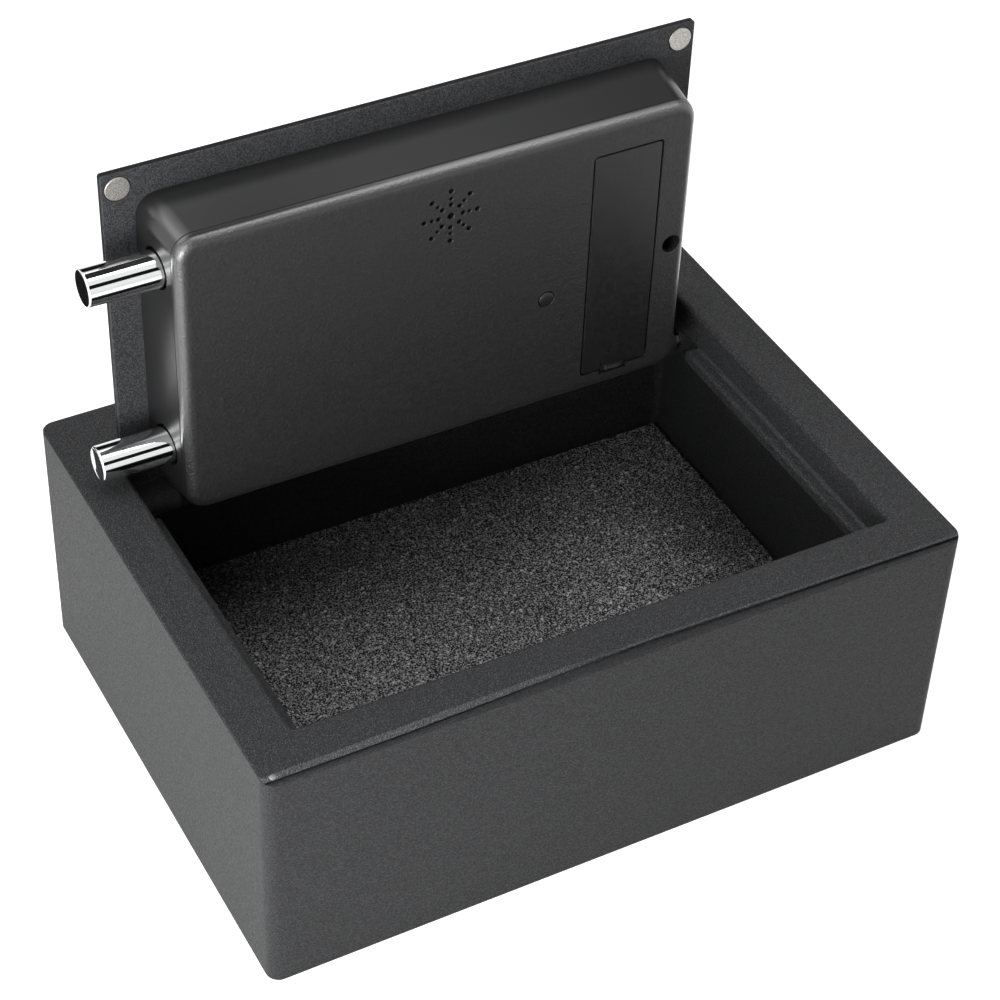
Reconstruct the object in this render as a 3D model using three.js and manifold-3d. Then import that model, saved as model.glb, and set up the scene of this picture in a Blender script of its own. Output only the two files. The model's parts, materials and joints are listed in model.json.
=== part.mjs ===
// Under desk drawer safe, in millimetres.
// A steel box that opens at the top. Its door plate is hinged near the back and stands open at a
// right angle. The origin is the middle of the underside, +Z is up and the front faces -Y.

import * as THREE from 'three';
import { mergeVertices } from 'three/addons/utils/BufferGeometryUtils.js';
import Module from 'manifold-3d';

const wasm = await Module();
wasm.setup();

// Driving dimensions

const fit = {
  seat: 0.3,
  overrun: 2,
  running: 0.35,
};

const facets = {
  corner: 4,
  bend: 4,
  small: 12,
  round: 28,
};

const box = {
  width: 355,
  depth: 262,
  height: 129.5,
  cornerRadius: 6.5,
  wall: 2,
  seamDepth: 0.5,
  seamHeight: 0.8,
};

const anchor = {
  holeRadius: 5,
  fromSide: 57.5,
  fromFront: 51,
};

const rim = {
  sideWidth: 24.7,
  frontWidth: 26.4,
  backWidth: 27,
  sheet: 2,
  skirt: 4.5,
  outerBend: 2.5,
  innerBend: 3,
  cornerRadius: 2.5,
  lipDepth: 18,
};

const ledge = {
  width: 7.2,
  boltSideWidth: 9.2,
  sheet: 2,
  flange: 6,
  bend: 1.6,
  hingeGap: 19.4,
};

const mat = {
  thickness: 6.7,
  edgeGap: 3,
  cornerRadius: 4,
};

const hinge = {
  fromBack: 21.6,
  seatGap: 0.7,
  faceOffset: 8.5,
  pinRadius: 3,
  pinHeadRadius: 5.5,
  pinHead: 2,
  pinReach: 24,
  barrelRadius: 6,
  barrelLength: 22,
  barrelGap: 3.3,
  bracketSheet: 2.5,
  bracketTop: 34,
  bracketNose: 6.5,
  noseSpread: Math.PI * 0.35,
};

const plate = {
  sideGap: 1.6,
  frontGap: 1.5,
  backGap: 5.5,
  thickness: 4,
  cornerRadius: 1.5,
  edgeRound: 0.7,
  cableHoleRadius: 6,
  cableHoleDrop: 28.6,
};

const cover = {
  sideMargin: 15.2,
  farMargin: 14.2,
  near: 8.8,
  depth: 37.8,
  draft: 3.6,
  cornerRadius: 11,
  edgeFillet: 5.5,
  wall: 2.5,
  ribWidth: 1.6,
  ribHeight: 4,
  ribShares: [0.5, 0.2],
};

const bolt = {
  radius: 9,
  chamfer: 0.8,
  depth: 17.3,
  low: 41.5,
  fromFar: 28.1,
  reach: 33.2,
  length: 66,
  holeRadius: 10.3,
};

const guide = {
  length: 24,
  width: 26,
  front: 12.5,
};

const carrier = {
  thickness: 8,
  width: 10,
  overhang: 7,
  arm: 76,
  armHeight: 9,
};

const gear = {
  teeth: 12,
  module: 1,
  pressureAngle: Math.PI / 9,
  addendum: 0.8,
  dedendum: 1.15,
  backlash: 0.35,
  width: 6,
  lift: 1.5,
  boreRadius: 1.5,
  flankSteps: 3,
};

const motor = {
  gearboxWidth: 24,
  gearboxHeight: 30,
  canRadius: 6,
  canLength: 26,
  shaftRadius: 1.25,
};

const lid = {
  fromSide: 22.2,
  width: 35.9,
  near: 23.7,
  farMargin: 20,
  thickness: 2.2,
  gap: 0.6,
  cornerRadius: 1.2,
  tongueWidth: 17,
  tongueLength: 2.5,
  tongueRoot: 5,
  tongueRaise: 0.7,
};

const tray = {
  wall: 1.6,
  depth: 18.5,
  margin: 2.6,
  nearMargin: 3.5,
  partition: 5,
  endBlock: 8,
  nearRoom: 26.5,
};

const cell = {
  radius: 7.1,
  nubRadius: 2.8,
  nubLength: 1,
  edge: 0.6,
  gap: 0.5,
};

const contact = {
  sheet: 0.5,
  width: 30,
  height: 12,
  foldLength: 3,
};

const speaker = {
  x: 2.9,
  fromFar: 28.6,
  armCount: 8,
  innerRadius: 6.6,
  middleRadius: 10.3,
  outerRadius: 14.3,
  centreHole: 1.7,
  innerHole: 1.2,
  middleHole: 0.8,
  outerHole: 1.3,
};

const buzzer = {
  radius: 17.5,
  height: 6,
  gap: 0.5,
};

const button = {
  fromLid: 22.7,
  v: 77.7,
  radius: 4,
  gap: 0.35,
  dome: 1,
  flangeRadius: 6,
  flange: 1.2,
  stemRadius: 2,
  travel: 1.2,
};

const screw = {
  fromSide: 12.2,
  v: 88.7,
  holeRadius: 4.9,
  holeDepth: 24,
  bossRadius: 6.9,
  headRadius: 3.2,
  headTopShare: 0.6,
  head: 2.2,
  slotWidth: 0.9,
  slotDepth: 1,
  shankRadius: 1.6,
  shankLength: 9,
};

const board = {
  leftShare: 0.3338,
  lidGap: 5.9,
  near: 52,
  farMargin: 43.3,
  thickness: 1.6,
  depthGap: 7.6,
  chipSize: 12,
  chipHeight: 2,
  chipShares: [0.3, 0.7],
  switchSize: 6,
  switchHeight: 2,
  postRadius: 2.2,
};

const magnet = {
  radius: 6,
  sideInset: 7.8,
  frontInset: 8.1,
  proud: 0.4,
  bevel: 0.25,
};

const pad = {
  width: 96,
  offset: 10.5,
  length: 106,
  height: 10.5,
  draft: 2,
  cornerRadius: 8,
  edgeFillet: 2,
};

const key = {
  columns: 3,
  rows: 4,
  width: 19,
  length: 12,
  pitchX: 25,
  pitchV: 16,
  fromNear: 40,
  height: 5,
  proud: 1.4,
  gap: 0.4,
  travel: 1.2,
  cornerRadius: 2.5,
  topFillet: 0.9,
  topStepShare: 1 / 3,
};

const statusWindow = {
  width: 40,
  length: 6,
  fromFar: 3.5,
  thickness: 1.6,
  cornerRadius: 2.8,
};

const lock = {
  x: 0,
  fromNear: 15,
  bodyRadius: 9,
  bodyLength: 24,
  coreRadius: 6,
  slotWidth: 1.6,
  slotLength: 7,
  slotDepth: 4,
  tailWidth: 8,
  tailLength: 16,
  tailSheet: 2.5,
  mouth: 3,
};

const cap = {
  radius: 11,
  height: 2,
  edgeRound: 1,
  plugRadius: 8,
  plug: 2.2,
  notchWidth: 5,
  notchDepth: 1.2,
};

// Values worked out from the driving dimensions

const openingSide = box.width / 2 - rim.sideWidth;
const openingFront = rim.frontWidth - box.depth / 2;
const openingBack = box.depth / 2 - rim.backWidth;
const seatTop = box.height - rim.lipDepth;
const hingeY = openingBack - hinge.fromBack;
const hingeZ = seatTop + hinge.seatGap - hinge.faceOffset;
const plateHalf = openingSide - plate.sideGap;
const plateFar = hingeY - openingFront - plate.frontGap;
const plateBack = hinge.fromBack - plate.backGap;
const plateFace = -hinge.faceOffset;
const plateOuter = plateFace - plate.thickness;
const coverHalf = plateHalf - cover.sideMargin;
const coverFar = plateFar - cover.farMargin;
const coverFront = plateFace + cover.depth;
const coverInside = coverFront - cover.wall;
const boltDepth = plateFace + bolt.depth;
const boltHigh = coverFar - bolt.fromFar;
const boltEnd = -coverHalf - bolt.reach;
const lidLeft = coverHalf - lid.fromSide - lid.width;
const lidLength = coverFar - lid.farMargin - lid.near;
const speakerV = coverFar - speaker.fromFar;
const buttonX = lidLeft - button.fromLid;
const screwX = coverHalf - screw.fromSide;
const boardLeft = lidLeft * board.leftShare;
const boardWidth = lidLeft - board.lidGap - boardLeft;
const boardLength = coverFar - board.farMargin - board.near;
const padNear = (plateFar - plateBack - pad.length) / 2 + pad.offset;
const lockV = padNear + lock.fromNear;
const pitchRadius = gear.teeth * gear.module / 2;

// Materials

function finish(color, roughness, metalness) {
  return new THREE.MeshStandardMaterial({ color, roughness, metalness });
}

const paint = finish(0x3a3b3d, 0.6, 0.35);
const plastic = finish(0x2b2b2d, 0.55, 0);
const darkPlastic = finish(0x1c1c1e, 0.5, 0);
const foam = finish(0x2a2a2b, 0.95, 0);
const chrome = finish(0xdadbdd, 0.08, 1);
const steel = finish(0x9a9b9d, 0.35, 0.9);
const brass = finish(0xb99a52, 0.35, 0.9);
const rubber = finish(0x38393b, 0.8, 0);
const fibre = finish(0x1e5a38, 0.6, 0);
const label = finish(0x4b4d52, 0.5, 0.1);
const lens = finish(0x160a0c, 0.15, 0);

// Outlines

// A rounded rectangle, anticlockwise, with the same number of points whatever its size.
function roundedOutline(left, right, low, high, radius) {
  const corners = [
    [right - radius, high - radius],
    [left + radius, high - radius],
    [left + radius, low + radius],
    [right - radius, low + radius],
  ];
  const points = [];
  corners.forEach(([x, y], quarter) => {
    for (let step = 0; step <= facets.corner; step += 1) {
      const angle = (quarter + step / facets.corner) * Math.PI / 2;
      points.push(new THREE.Vector2(x + radius * Math.cos(angle), y + radius * Math.sin(angle)));
    }
  });
  return points;
}

function circleOutline(x, y, radius, sides) {
  return Array.from({ length: sides }, (_, index) => {
    const angle = (index + 0.5) / sides * Math.PI * 2;
    return new THREE.Vector2(x + radius * Math.cos(angle), y + radius * Math.sin(angle));
  });
}

// Points of an arc about a centre, from one angle to another, both ends included.
function arc(x, y, radius, from, to, steps) {
  return Array.from({ length: steps + 1 }, (_, index) => {
    const angle = from + (to - from) * index / steps;
    return new THREE.Vector2(x + radius * Math.cos(angle), y + radius * Math.sin(angle));
  });
}

// Closed forms

// Joins rings of equal point count, stacked along Z. A loop of rings closes on its first ring.
function loft(sections, loop = false) {
  const count = sections[0].outline.length;
  const positions = [];
  const triangles = [];
  for (const { outline, z } of sections) {
    for (const point of outline) {
      positions.push(point.x, point.y, z);
    }
  }
  const bands = loop ? sections.length : sections.length - 1;
  for (let band = 0; band < bands; band += 1) {
    const lower = band * count;
    const upper = ((band + 1) % sections.length) * count;
    for (let index = 0; index < count; index += 1) {
      const next = (index + 1) % count;
      triangles.push(lower + index, lower + next, upper + next);
      triangles.push(lower + index, upper + next, upper + index);
    }
  }
  if (!loop) {
    const top = (sections.length - 1) * count;
    for (const [a, b, c] of THREE.ShapeUtils.triangulateShape(sections[0].outline, [])) {
      triangles.push(c, b, a);
    }
    for (const [a, b, c] of THREE.ShapeUtils.triangulateShape(sections.at(-1).outline, [])) {
      triangles.push(top + a, top + b, top + c);
    }
  }
  const geometry = new THREE.BufferGeometry();
  geometry.setAttribute('position', new THREE.Float32BufferAttribute(positions, 3));
  geometry.setIndex(triangles);
  return geometry;
}

function prism(outline, low, high) {
  return loft([{ outline, z: low }, { outline, z: high }]);
}

function block(left, right, low, high, bottom, top) {
  const geometry = new THREE.BoxGeometry(right - left, high - low, top - bottom);
  return geometry.translate((left + right) / 2, (low + high) / 2, (bottom + top) / 2);
}

function disc(x, y, radius, low, high, sides = facets.round) {
  return prism(circleOutline(x, y, radius, sides), low, high);
}

// A revolved form about the X axis, from a profile of [radius, x] points along it.
function turnedAlongX(profile, sides = facets.round) {
  const geometry = new THREE.LatheGeometry(profile.map(([r, x]) => new THREE.Vector2(r, x)), sides);
  return geometry.rotateZ(-Math.PI / 2);
}

// A revolved form about the Z axis.
function turnedAlongZ(profile, sides = facets.round) {
  const geometry = new THREE.LatheGeometry(profile.map(([r, z]) => new THREE.Vector2(r, z)), sides);
  return geometry.rotateX(Math.PI / 2);
}

// An outline in the YZ plane, run along X.
function runAlongX(outline, from, to) {
  const geometry = prism(outline, from, to);
  const axes = new THREE.Matrix4().makeBasis(
    new THREE.Vector3(0, 1, 0),
    new THREE.Vector3(0, 0, 1),
    new THREE.Vector3(1, 0, 0),
  );
  return geometry.applyMatrix4(axes);
}

// An outline in the XZ plane, run along Y.
function runAlongY(outline, from, to) {
  const geometry = prism(outline, -to, -from);
  return geometry.rotateX(Math.PI / 2);
}

// Joining and cutting

function solidOf(geometry) {
  const bare = geometry.clone();
  bare.deleteAttribute('normal');
  bare.deleteAttribute('uv');
  const merged = mergeVertices(bare, 1e-4);
  return new wasm.Manifold(new wasm.Mesh({
    numProp: 3,
    vertProperties: new Float32Array(merged.attributes.position.array),
    triVerts: new Uint32Array(merged.index.array),
  }));
}

function geometryOf(solid) {
  const mesh = solid.getMesh();
  const geometry = new THREE.BufferGeometry();
  geometry.setAttribute('position', new THREE.Float32BufferAttribute(mesh.vertProperties, mesh.numProp));
  geometry.setIndex(Array.from(mesh.triVerts));
  return geometry;
}

function cut(geometry, ...tools) {
  let solid = solidOf(geometry);
  for (const tool of tools) {
    solid = solid.subtract(solidOf(tool));
  }
  return geometryOf(solid);
}

function join(first, ...others) {
  let solid = solidOf(first);
  for (const other of others) {
    solid = solid.add(solidOf(other));
  }
  return geometryOf(solid);
}

function common(first, second) {
  return geometryOf(solidOf(first).intersect(solidOf(second)));
}

function piece(name, geometry, material) {
  const bare = geometry.clone();
  bare.deleteAttribute('normal');
  bare.deleteAttribute('uv');
  const merged = mergeVertices(bare, 1e-4);
  merged.computeVertexNormals();
  const mesh = new THREE.Mesh(merged, material);
  mesh.name = name;
  return mesh;
}

// Box

function boxOutline(inset) {
  const x = box.width / 2 - inset;
  const y = box.depth / 2 - inset;
  return roundedOutline(-x, x, -y, y, box.cornerRadius - inset);
}

function wallSheet() {
  const top = box.height - rim.skirt;
  const sheet = loft([
    { outline: boxOutline(0), z: 0 },
    { outline: boxOutline(0), z: top },
    { outline: boxOutline(box.wall), z: top },
    { outline: boxOutline(box.wall), z: 0 },
  ], true);
  const front = -box.depth / 2;
  const reach = box.width / 2 - box.cornerRadius;
  const seam = block(-reach, reach, front - fit.overrun, front + box.seamDepth,
    top - box.seamHeight, top + fit.overrun);
  return cut(sheet, seam);
}

// The wrapped sheet in its four flats and four bends.
function bodyWalls() {
  const sheet = wallSheet();
  const flatX = box.width / 2 - box.cornerRadius;
  const flatY = box.depth / 2 - box.cornerRadius;
  const endX = box.width / 2 + fit.overrun;
  const endY = box.depth / 2 + fit.overrun;
  const share = (name, left, right, near, far) => {
    const room = block(left, right, near, far, -fit.overrun, box.height);
    return piece(name, common(sheet, room), paint);
  };
  return [
    share('wall_front', -flatX, flatX, -endY, -flatY),
    share('wall_back', -flatX, flatX, flatY, endY),
    share('wall_left', -endX, -flatX, -flatY, flatY),
    share('wall_right', flatX, endX, -flatY, flatY),
    share('bend_front_left', -endX, -flatX, -endY, -flatY),
    share('bend_front_right', flatX, endX, -endY, -flatY),
    share('bend_back_left', -endX, -flatX, flatY, endY),
    share('bend_back_right', flatX, endX, flatY, endY),
  ];
}

function floorPan() {
  const pan = prism(boxOutline(box.wall + fit.seat), 0, box.wall);
  const holes = [];
  for (const sideX of [-1, 1]) {
    for (const sideY of [-1, 1]) {
      const x = sideX * (box.width / 2 - anchor.fromSide);
      const y = sideY * (box.depth / 2 - anchor.fromFront);
      holes.push(disc(x, y, anchor.holeRadius, -fit.overrun, box.wall + fit.overrun));
    }
  }
  return piece('floor_pan', cut(pan, ...holes), paint);
}

function foamMat() {
  const x = box.width / 2 - box.wall - mat.edgeGap;
  const y = box.depth / 2 - box.wall - mat.edgeGap;
  const low = box.wall + fit.seat;
  const outline = roundedOutline(-x, x, -y, y, mat.cornerRadius);
  return piece('foam_mat', prism(outline, low, low + mat.thickness), foam);
}

function openingOutline(outset) {
  return roundedOutline(-openingSide - outset, openingSide + outset,
    openingFront - outset, openingBack + outset, rim.cornerRadius + outset);
}

// The rim is one bent sheet: an outer skirt, a flat top and a lip that goes down into the opening.
function topFrame() {
  const top = box.height;
  const outer = arc(rim.outerBend, top - rim.outerBend, rim.outerBend, Math.PI, Math.PI / 2, facets.bend);
  const inner = arc(rim.innerBend, top - rim.innerBend, rim.innerBend, Math.PI / 2, Math.PI, facets.bend);
  const hollow = rim.innerBend - rim.sheet;
  const under = arc(rim.innerBend, top - rim.innerBend, hollow, Math.PI, Math.PI / 2, facets.bend);
  const sections = [{ outline: boxOutline(0), z: top - rim.skirt }];
  for (const point of outer) {
    sections.push({ outline: boxOutline(point.x), z: point.y });
  }
  for (const point of inner) {
    sections.push({ outline: openingOutline(point.x), z: point.y });
  }
  sections.push({ outline: openingOutline(0), z: seatTop });
  sections.push({ outline: openingOutline(rim.sheet), z: seatTop });
  for (const point of under) {
    sections.push({ outline: openingOutline(point.x), z: point.y });
  }
  sections.push({ outline: boxOutline(rim.sheet), z: top - rim.sheet });
  sections.push({ outline: boxOutline(rim.sheet), z: top - rim.skirt });
  return piece('top_frame', loft(sections, true), paint);
}

// The section of a seat strip: a flat top that bends down at its free edge, at u = 0.
function ledgeOutline(width) {
  const reach = width + rim.sheet;
  return [
    new THREE.Vector2(reach, seatTop - ledge.sheet),
    new THREE.Vector2(reach, seatTop),
    ...arc(ledge.bend, seatTop - ledge.bend, ledge.bend, Math.PI / 2, Math.PI, facets.bend),
    new THREE.Vector2(0, seatTop - ledge.flange),
    new THREE.Vector2(ledge.sheet, seatTop - ledge.flange),
    new THREE.Vector2(ledge.sheet, seatTop - ledge.sheet),
  ];
}

function sideLedge(name, side, width) {
  const inner = openingSide - width;
  const outline = ledgeOutline(width).map(({ x, y }) => new THREE.Vector2(side * (inner + x), y));
  if (side < 0) {
    outline.reverse();
  }
  const front = openingFront - rim.sheet;
  return piece(name, runAlongY(outline, front, hingeY - ledge.hingeGap), paint);
}

function frontLedge() {
  const inner = openingFront + ledge.width;
  const outline = ledgeOutline(ledge.width).map(({ x, y }) => new THREE.Vector2(inner - x, y)).reverse();
  const left = ledge.boltSideWidth + fit.seat - openingSide;
  const right = openingSide - ledge.width - fit.seat;
  return piece('front_ledge', runAlongX(outline, left, right), paint);
}

// Hinge

// A bracket hangs from the lip's lower edge and narrows round the pin.
function hingeBracket(name, side) {
  const down = Math.PI * 3 / 2;
  const outline = [
    new THREE.Vector2(hingeY + hinge.bracketTop / 2, seatTop),
    new THREE.Vector2(hingeY - hinge.bracketTop / 2, seatTop),
    ...arc(hingeY, hingeZ, hinge.bracketNose, down - hinge.noseSpread, down + hinge.noseSpread,
      facets.round / 4),
  ];
  const low = side * openingSide;
  const high = side * (openingSide + hinge.bracketSheet);
  const sheet = runAlongX(outline, Math.min(low, high), Math.max(low, high));
  const hole = runAlongX(circleOutline(hingeY, hingeZ, hinge.pinRadius + fit.running, facets.round),
    Math.min(low, high) - fit.overrun, Math.max(low, high) + fit.overrun);
  return piece(name, cut(sheet, hole), paint);
}

function hingePin(name, side) {
  const outside = openingSide + hinge.bracketSheet + fit.seat;
  const inside = openingSide - hinge.pinReach;
  const profile = [
    [0, inside],
    [hinge.pinRadius, inside],
    [hinge.pinRadius, outside],
    [hinge.pinHeadRadius, outside],
    [hinge.pinHeadRadius, outside + hinge.pinHead],
    [0, outside + hinge.pinHead],
  ];
  const pin = turnedAlongX(profile);
  if (side < 0) {
    pin.rotateZ(Math.PI);
  }
  return piece(name, pin.translate(0, hingeY, hingeZ), chrome);
}

// Door, in its own frame: X as before, Y away from the hinge axis along the plate and Z out of the
// plate's inner side, with the hinge axis at the origin.

function barrel(name, side) {
  const foot = hinge.barrelRadius;
  const outline = [
    ...arc(0, 0, hinge.barrelRadius, 0, Math.PI, facets.round / 2),
    new THREE.Vector2(-foot, plateFace),
    new THREE.Vector2(foot, plateFace),
  ];
  const outer = side * (openingSide - hinge.barrelGap);
  const inner = outer - side * hinge.barrelLength;
  const low = Math.min(outer, inner);
  const high = Math.max(outer, inner);
  const bore = circleOutline(0, 0, hinge.pinRadius + fit.running, facets.round);
  const body = runAlongX(outline, low, high);
  return piece(name, cut(body, runAlongX(bore, low - fit.overrun, high + fit.overrun)), paint);
}

function plateOutline(inset) {
  return roundedOutline(inset - plateHalf, plateHalf - inset,
    inset - plateBack, plateFar - inset, plate.cornerRadius - inset);
}

function magnetPlaces() {
  const x = plateHalf - magnet.sideInset;
  const v = plateFar - magnet.frontInset;
  return [['magnet_left', -x, v], ['magnet_right', x, v]];
}

function doorPlate() {
  const round = plate.edgeRound;
  const sheet = loft([
    { outline: plateOutline(round), z: plateOuter },
    { outline: plateOutline(0), z: plateOuter + round },
    { outline: plateOutline(0), z: plateFace - round },
    { outline: plateOutline(round), z: plateFace },
  ]);
  const low = plateOuter - fit.overrun;
  const high = plateFace + fit.overrun;
  const lockHole = disc(lock.x, lockV, lock.bodyRadius + fit.seat, low, high);
  const cableHole = disc(boardLeft - board.postRadius * 2, speakerV - plate.cableHoleDrop,
    plate.cableHoleRadius, low, high);
  const sockets = magnetPlaces().map(([, x, v]) => (
    disc(x, v, magnet.radius + fit.seat, plateFace - plate.thickness / 2, high)));
  return piece('door_plate', cut(sheet, lockHole, cableHole, ...sockets), paint);
}

function magnetDisc([name, x, v]) {
  const low = plateFace - plate.thickness / 2 + fit.seat;
  const high = plateFace + magnet.proud;
  const form = turnedAlongZ([
    [0, low],
    [magnet.radius, low],
    [magnet.radius, high - magnet.bevel],
    [magnet.radius - magnet.bevel, high],
    [0, high],
  ]);
  return piece(name, form.translate(x, v, 0), steel);
}

// The cover's rounded rectangle at a height, with the side walls leaning in by the draft.
function coverOutline(height, inset, round) {
  const lean = cover.draft * height / cover.depth;
  const shift = lean + inset;
  return roundedOutline(shift - coverHalf, coverHalf - shift,
    cover.near + shift, coverFar - shift, cover.cornerRadius - round);
}

function coverForm(inset, low, top, fillet) {
  const sections = [{ outline: coverOutline(low - plateFace, inset, inset), z: low }];
  const steps = facets.bend + 1;
  for (const { x, y } of arc(0, top - fillet, fillet, 0, Math.PI / 2, steps)) {
    const drawn = fillet - x;
    sections.push({ outline: coverOutline(y - plateFace, inset + drawn, inset + drawn), z: y });
  }
  return loft(sections);
}

function speakerHoles() {
  const holes = [[0, 0, speaker.centreHole]];
  const rings = [
    [speaker.innerRadius, speaker.innerHole],
    [speaker.middleRadius, speaker.middleHole],
    [speaker.outerRadius, speaker.outerHole],
  ];
  for (let arm = 0; arm < speaker.armCount; arm += 1) {
    const angle = arm / speaker.armCount * Math.PI * 2;
    for (const [reach, radius] of rings) {
      holes.push([reach * Math.cos(angle), reach * Math.sin(angle), radius]);
    }
  }
  return holes.map(([x, v, radius]) => (
    disc(speaker.x + x, speakerV + v, radius, coverInside - fit.overrun, coverFront + fit.overrun,
      facets.small)));
}

function lidOutline(outset) {
  return roundedOutline(lidLeft - outset, lidLeft + lid.width + outset,
    lid.near - outset, lid.near + lidLength + outset, lid.cornerRadius + outset);
}

function tongueBlock(outset, low, high) {
  const middle = lidLeft + lid.width / 2;
  const half = lid.tongueWidth / 2 + outset;
  return block(middle - half, middle + half, lid.near - lid.tongueLength - outset,
    lid.near + lid.tongueRoot, low, high);
}

function boltHole(v) {
  const outline = circleOutline(v, boltDepth, bolt.holeRadius, facets.round);
  return runAlongX(outline, -coverHalf - fit.overrun, cover.draft + cover.wall * 2 - coverHalf);
}

function coverRibs() {
  const low = coverInside - cover.ribHeight;
  const high = coverInside + cover.wall / 2;
  const near = cover.near + cover.draft + cover.wall / 2;
  const far = coverFar - cover.draft - cover.wall / 2;
  const places = cover.ribShares.map((share) => -coverHalf * share);
  return places.map((x) => block(x - cover.ribWidth / 2, x + cover.ribWidth / 2, near, far, low, high));
}

function doorCover() {
  const outer = coverForm(0, plateFace, coverFront, cover.edgeFillet);
  const hollow = coverForm(cover.wall, plateFace - fit.overrun, coverInside, cover.edgeFillet - cover.wall);
  const boss = disc(screwX, screw.v, screw.bossRadius, plateFace + fit.seat, coverFront - cover.wall / 2);
  const shell = common(join(cut(outer, hollow), boss, ...coverRibs()), outer);
  const deep = coverFront - screw.holeDepth;
  const tools = [
    ...speakerHoles(),
    boltHole(bolt.low),
    boltHole(boltHigh),
    prism(lidOutline(lid.gap), coverInside - fit.overrun, coverFront + fit.overrun),
    tongueBlock(lid.gap, coverInside - fit.overrun, coverFront + fit.overrun),
    disc(buttonX, button.v, button.radius + button.gap, coverInside - fit.overrun,
      coverFront + fit.overrun),
    disc(screwX, screw.v, screw.holeRadius, deep, coverFront + fit.overrun),
    disc(screwX, screw.v, screw.shankRadius + fit.seat, plateFace - fit.overrun, deep + fit.overrun),
  ];
  return piece('door_cover', cut(shell, ...tools), plastic);
}

function coverScrew() {
  const seat = coverFront - screw.holeDepth + fit.seat;
  const top = seat + screw.head;
  const form = turnedAlongZ([
    [0, seat - screw.shankLength],
    [screw.shankRadius, seat - screw.shankLength],
    [screw.shankRadius, seat],
    [screw.headRadius, seat],
    [screw.headRadius, top - screw.slotDepth],
    [screw.headRadius * screw.headTopShare, top],
    [0, top],
  ]).translate(screwX, screw.v, 0);
  const half = screw.slotWidth / 2;
  const reach = screw.headRadius / 2;
  const across = block(screwX - reach, screwX + reach, screw.v - half, screw.v + half,
    top - screw.slotDepth, top + fit.overrun);
  const along = block(screwX - half, screwX + half, screw.v - reach, screw.v + reach,
    top - screw.slotDepth, top + fit.overrun);
  return piece('cover_screw', cut(form, across, along), steel);
}

// Battery bay

function batteryLid() {
  const low = coverFront - lid.thickness;
  const panel = prism(lidOutline(0), low, coverFront);
  const tongue = tongueBlock(0, low, coverFront + lid.tongueRaise);
  return piece('battery_lid', join(panel, tongue), plastic);
}

function trayBounds(inset) {
  return {
    left: lidLeft - tray.margin + inset,
    right: lidLeft + lid.width + tray.margin - inset,
    near: lid.near - tray.nearMargin + inset,
    far: lid.near + lidLength + tray.margin - inset,
  };
}

function batteryTray() {
  const top = coverInside - fit.seat;
  const floor = top - tray.depth;
  const outer = trayBounds(0);
  const inner = trayBounds(tray.wall);
  const shell = cut(
    block(outer.left, outer.right, outer.near, outer.far, floor, top),
    block(inner.left, inner.right, inner.near, inner.far, floor + tray.wall, top + fit.overrun),
  );
  const middle = (outer.left + outer.right) / 2;
  const half = tray.wall / 2;
  const bottom = floor + tray.wall / 2;
  const { start, end } = cellSpan();
  const partition = block(middle - half, middle + half, start + fit.overrun, end - fit.overrun,
    bottom, floor + tray.wall + tray.partition);
  const endBlock = block(inner.left - half, inner.right + half, inner.near - half,
    inner.near + tray.endBlock, bottom, top - lid.thickness);
  return piece('battery_tray', join(shell, partition, endBlock), darkPlastic);
}

// Two cells in line fill the room between the far contact and the near one.
function cellSpan() {
  const end = trayBounds(tray.wall).far - contact.sheet - contact.foldLength;
  const start = trayBounds(tray.wall).near + tray.nearRoom;
  return { start, end, length: (end - start - cell.gap) / 2 };
}

function batteryCells() {
  const inner = trayBounds(tray.wall);
  const middle = (inner.left + inner.right) / 2;
  const { start, length } = cellSpan();
  const lift = coverInside - fit.seat - tray.depth + tray.wall + cell.radius + fit.seat;
  const side = tray.wall / 2 + cell.radius + cell.gap;
  const cells = [];
  let number = 1;
  for (const column of [-1, 1]) {
    for (const row of [0, 1]) {
      const form = turnedAlongZ([
        [0, 0],
        [cell.radius - cell.edge, 0],
        [cell.radius, cell.edge],
        [cell.radius, length - cell.nubLength - cell.edge],
        [cell.radius - cell.edge, length - cell.nubLength],
        [cell.nubRadius, length - cell.nubLength],
        [cell.nubRadius, length],
        [0, length],
      ], facets.round - facets.corner);
      form.rotateX(-Math.PI / 2);
      const v = start + row * (length + cell.gap);
      form.translate(middle + column * side, v, lift);
      cells.push(piece(`battery_${number}`, form, label));
      number += 1;
    }
  }
  return cells;
}

function batteryContacts() {
  const inner = trayBounds(tray.wall);
  const middle = (inner.left + inner.right) / 2;
  const floor = coverInside - fit.seat - tray.depth + tray.wall + fit.seat;
  const { start, end } = cellSpan();
  const make = (name, wallV, foldV) => {
    const half = contact.width / 2;
    const low = Math.min(wallV, foldV);
    const high = Math.max(wallV, foldV);
    const upright = wallV > foldV
      ? block(middle - half, middle + half, high - contact.sheet, high, floor, floor + contact.height)
      : block(middle - half, middle + half, low, low + contact.sheet, floor, floor + contact.height);
    const top = floor + contact.height;
    const bump = (x) => turnedAlongZ([
      [0, 0],
      [cell.nubRadius, 0],
      [cell.nubRadius / 2, high - low],
      [0, high - low],
    ], facets.small).rotateX(wallV > foldV ? Math.PI / 2 : -Math.PI / 2)
      .translate(x, wallV, top - cell.radius);
    const side = tray.wall / 2 + cell.radius + cell.gap;
    return piece(name, join(upright, bump(middle - side), bump(middle + side)), steel);
  };
  const gap = fit.seat;
  return [
    make('battery_contact_far', inner.far - gap, end + gap),
    make('battery_contact_near', start - gap - contact.foldLength, start - gap),
  ];
}

// Electronics

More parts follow.
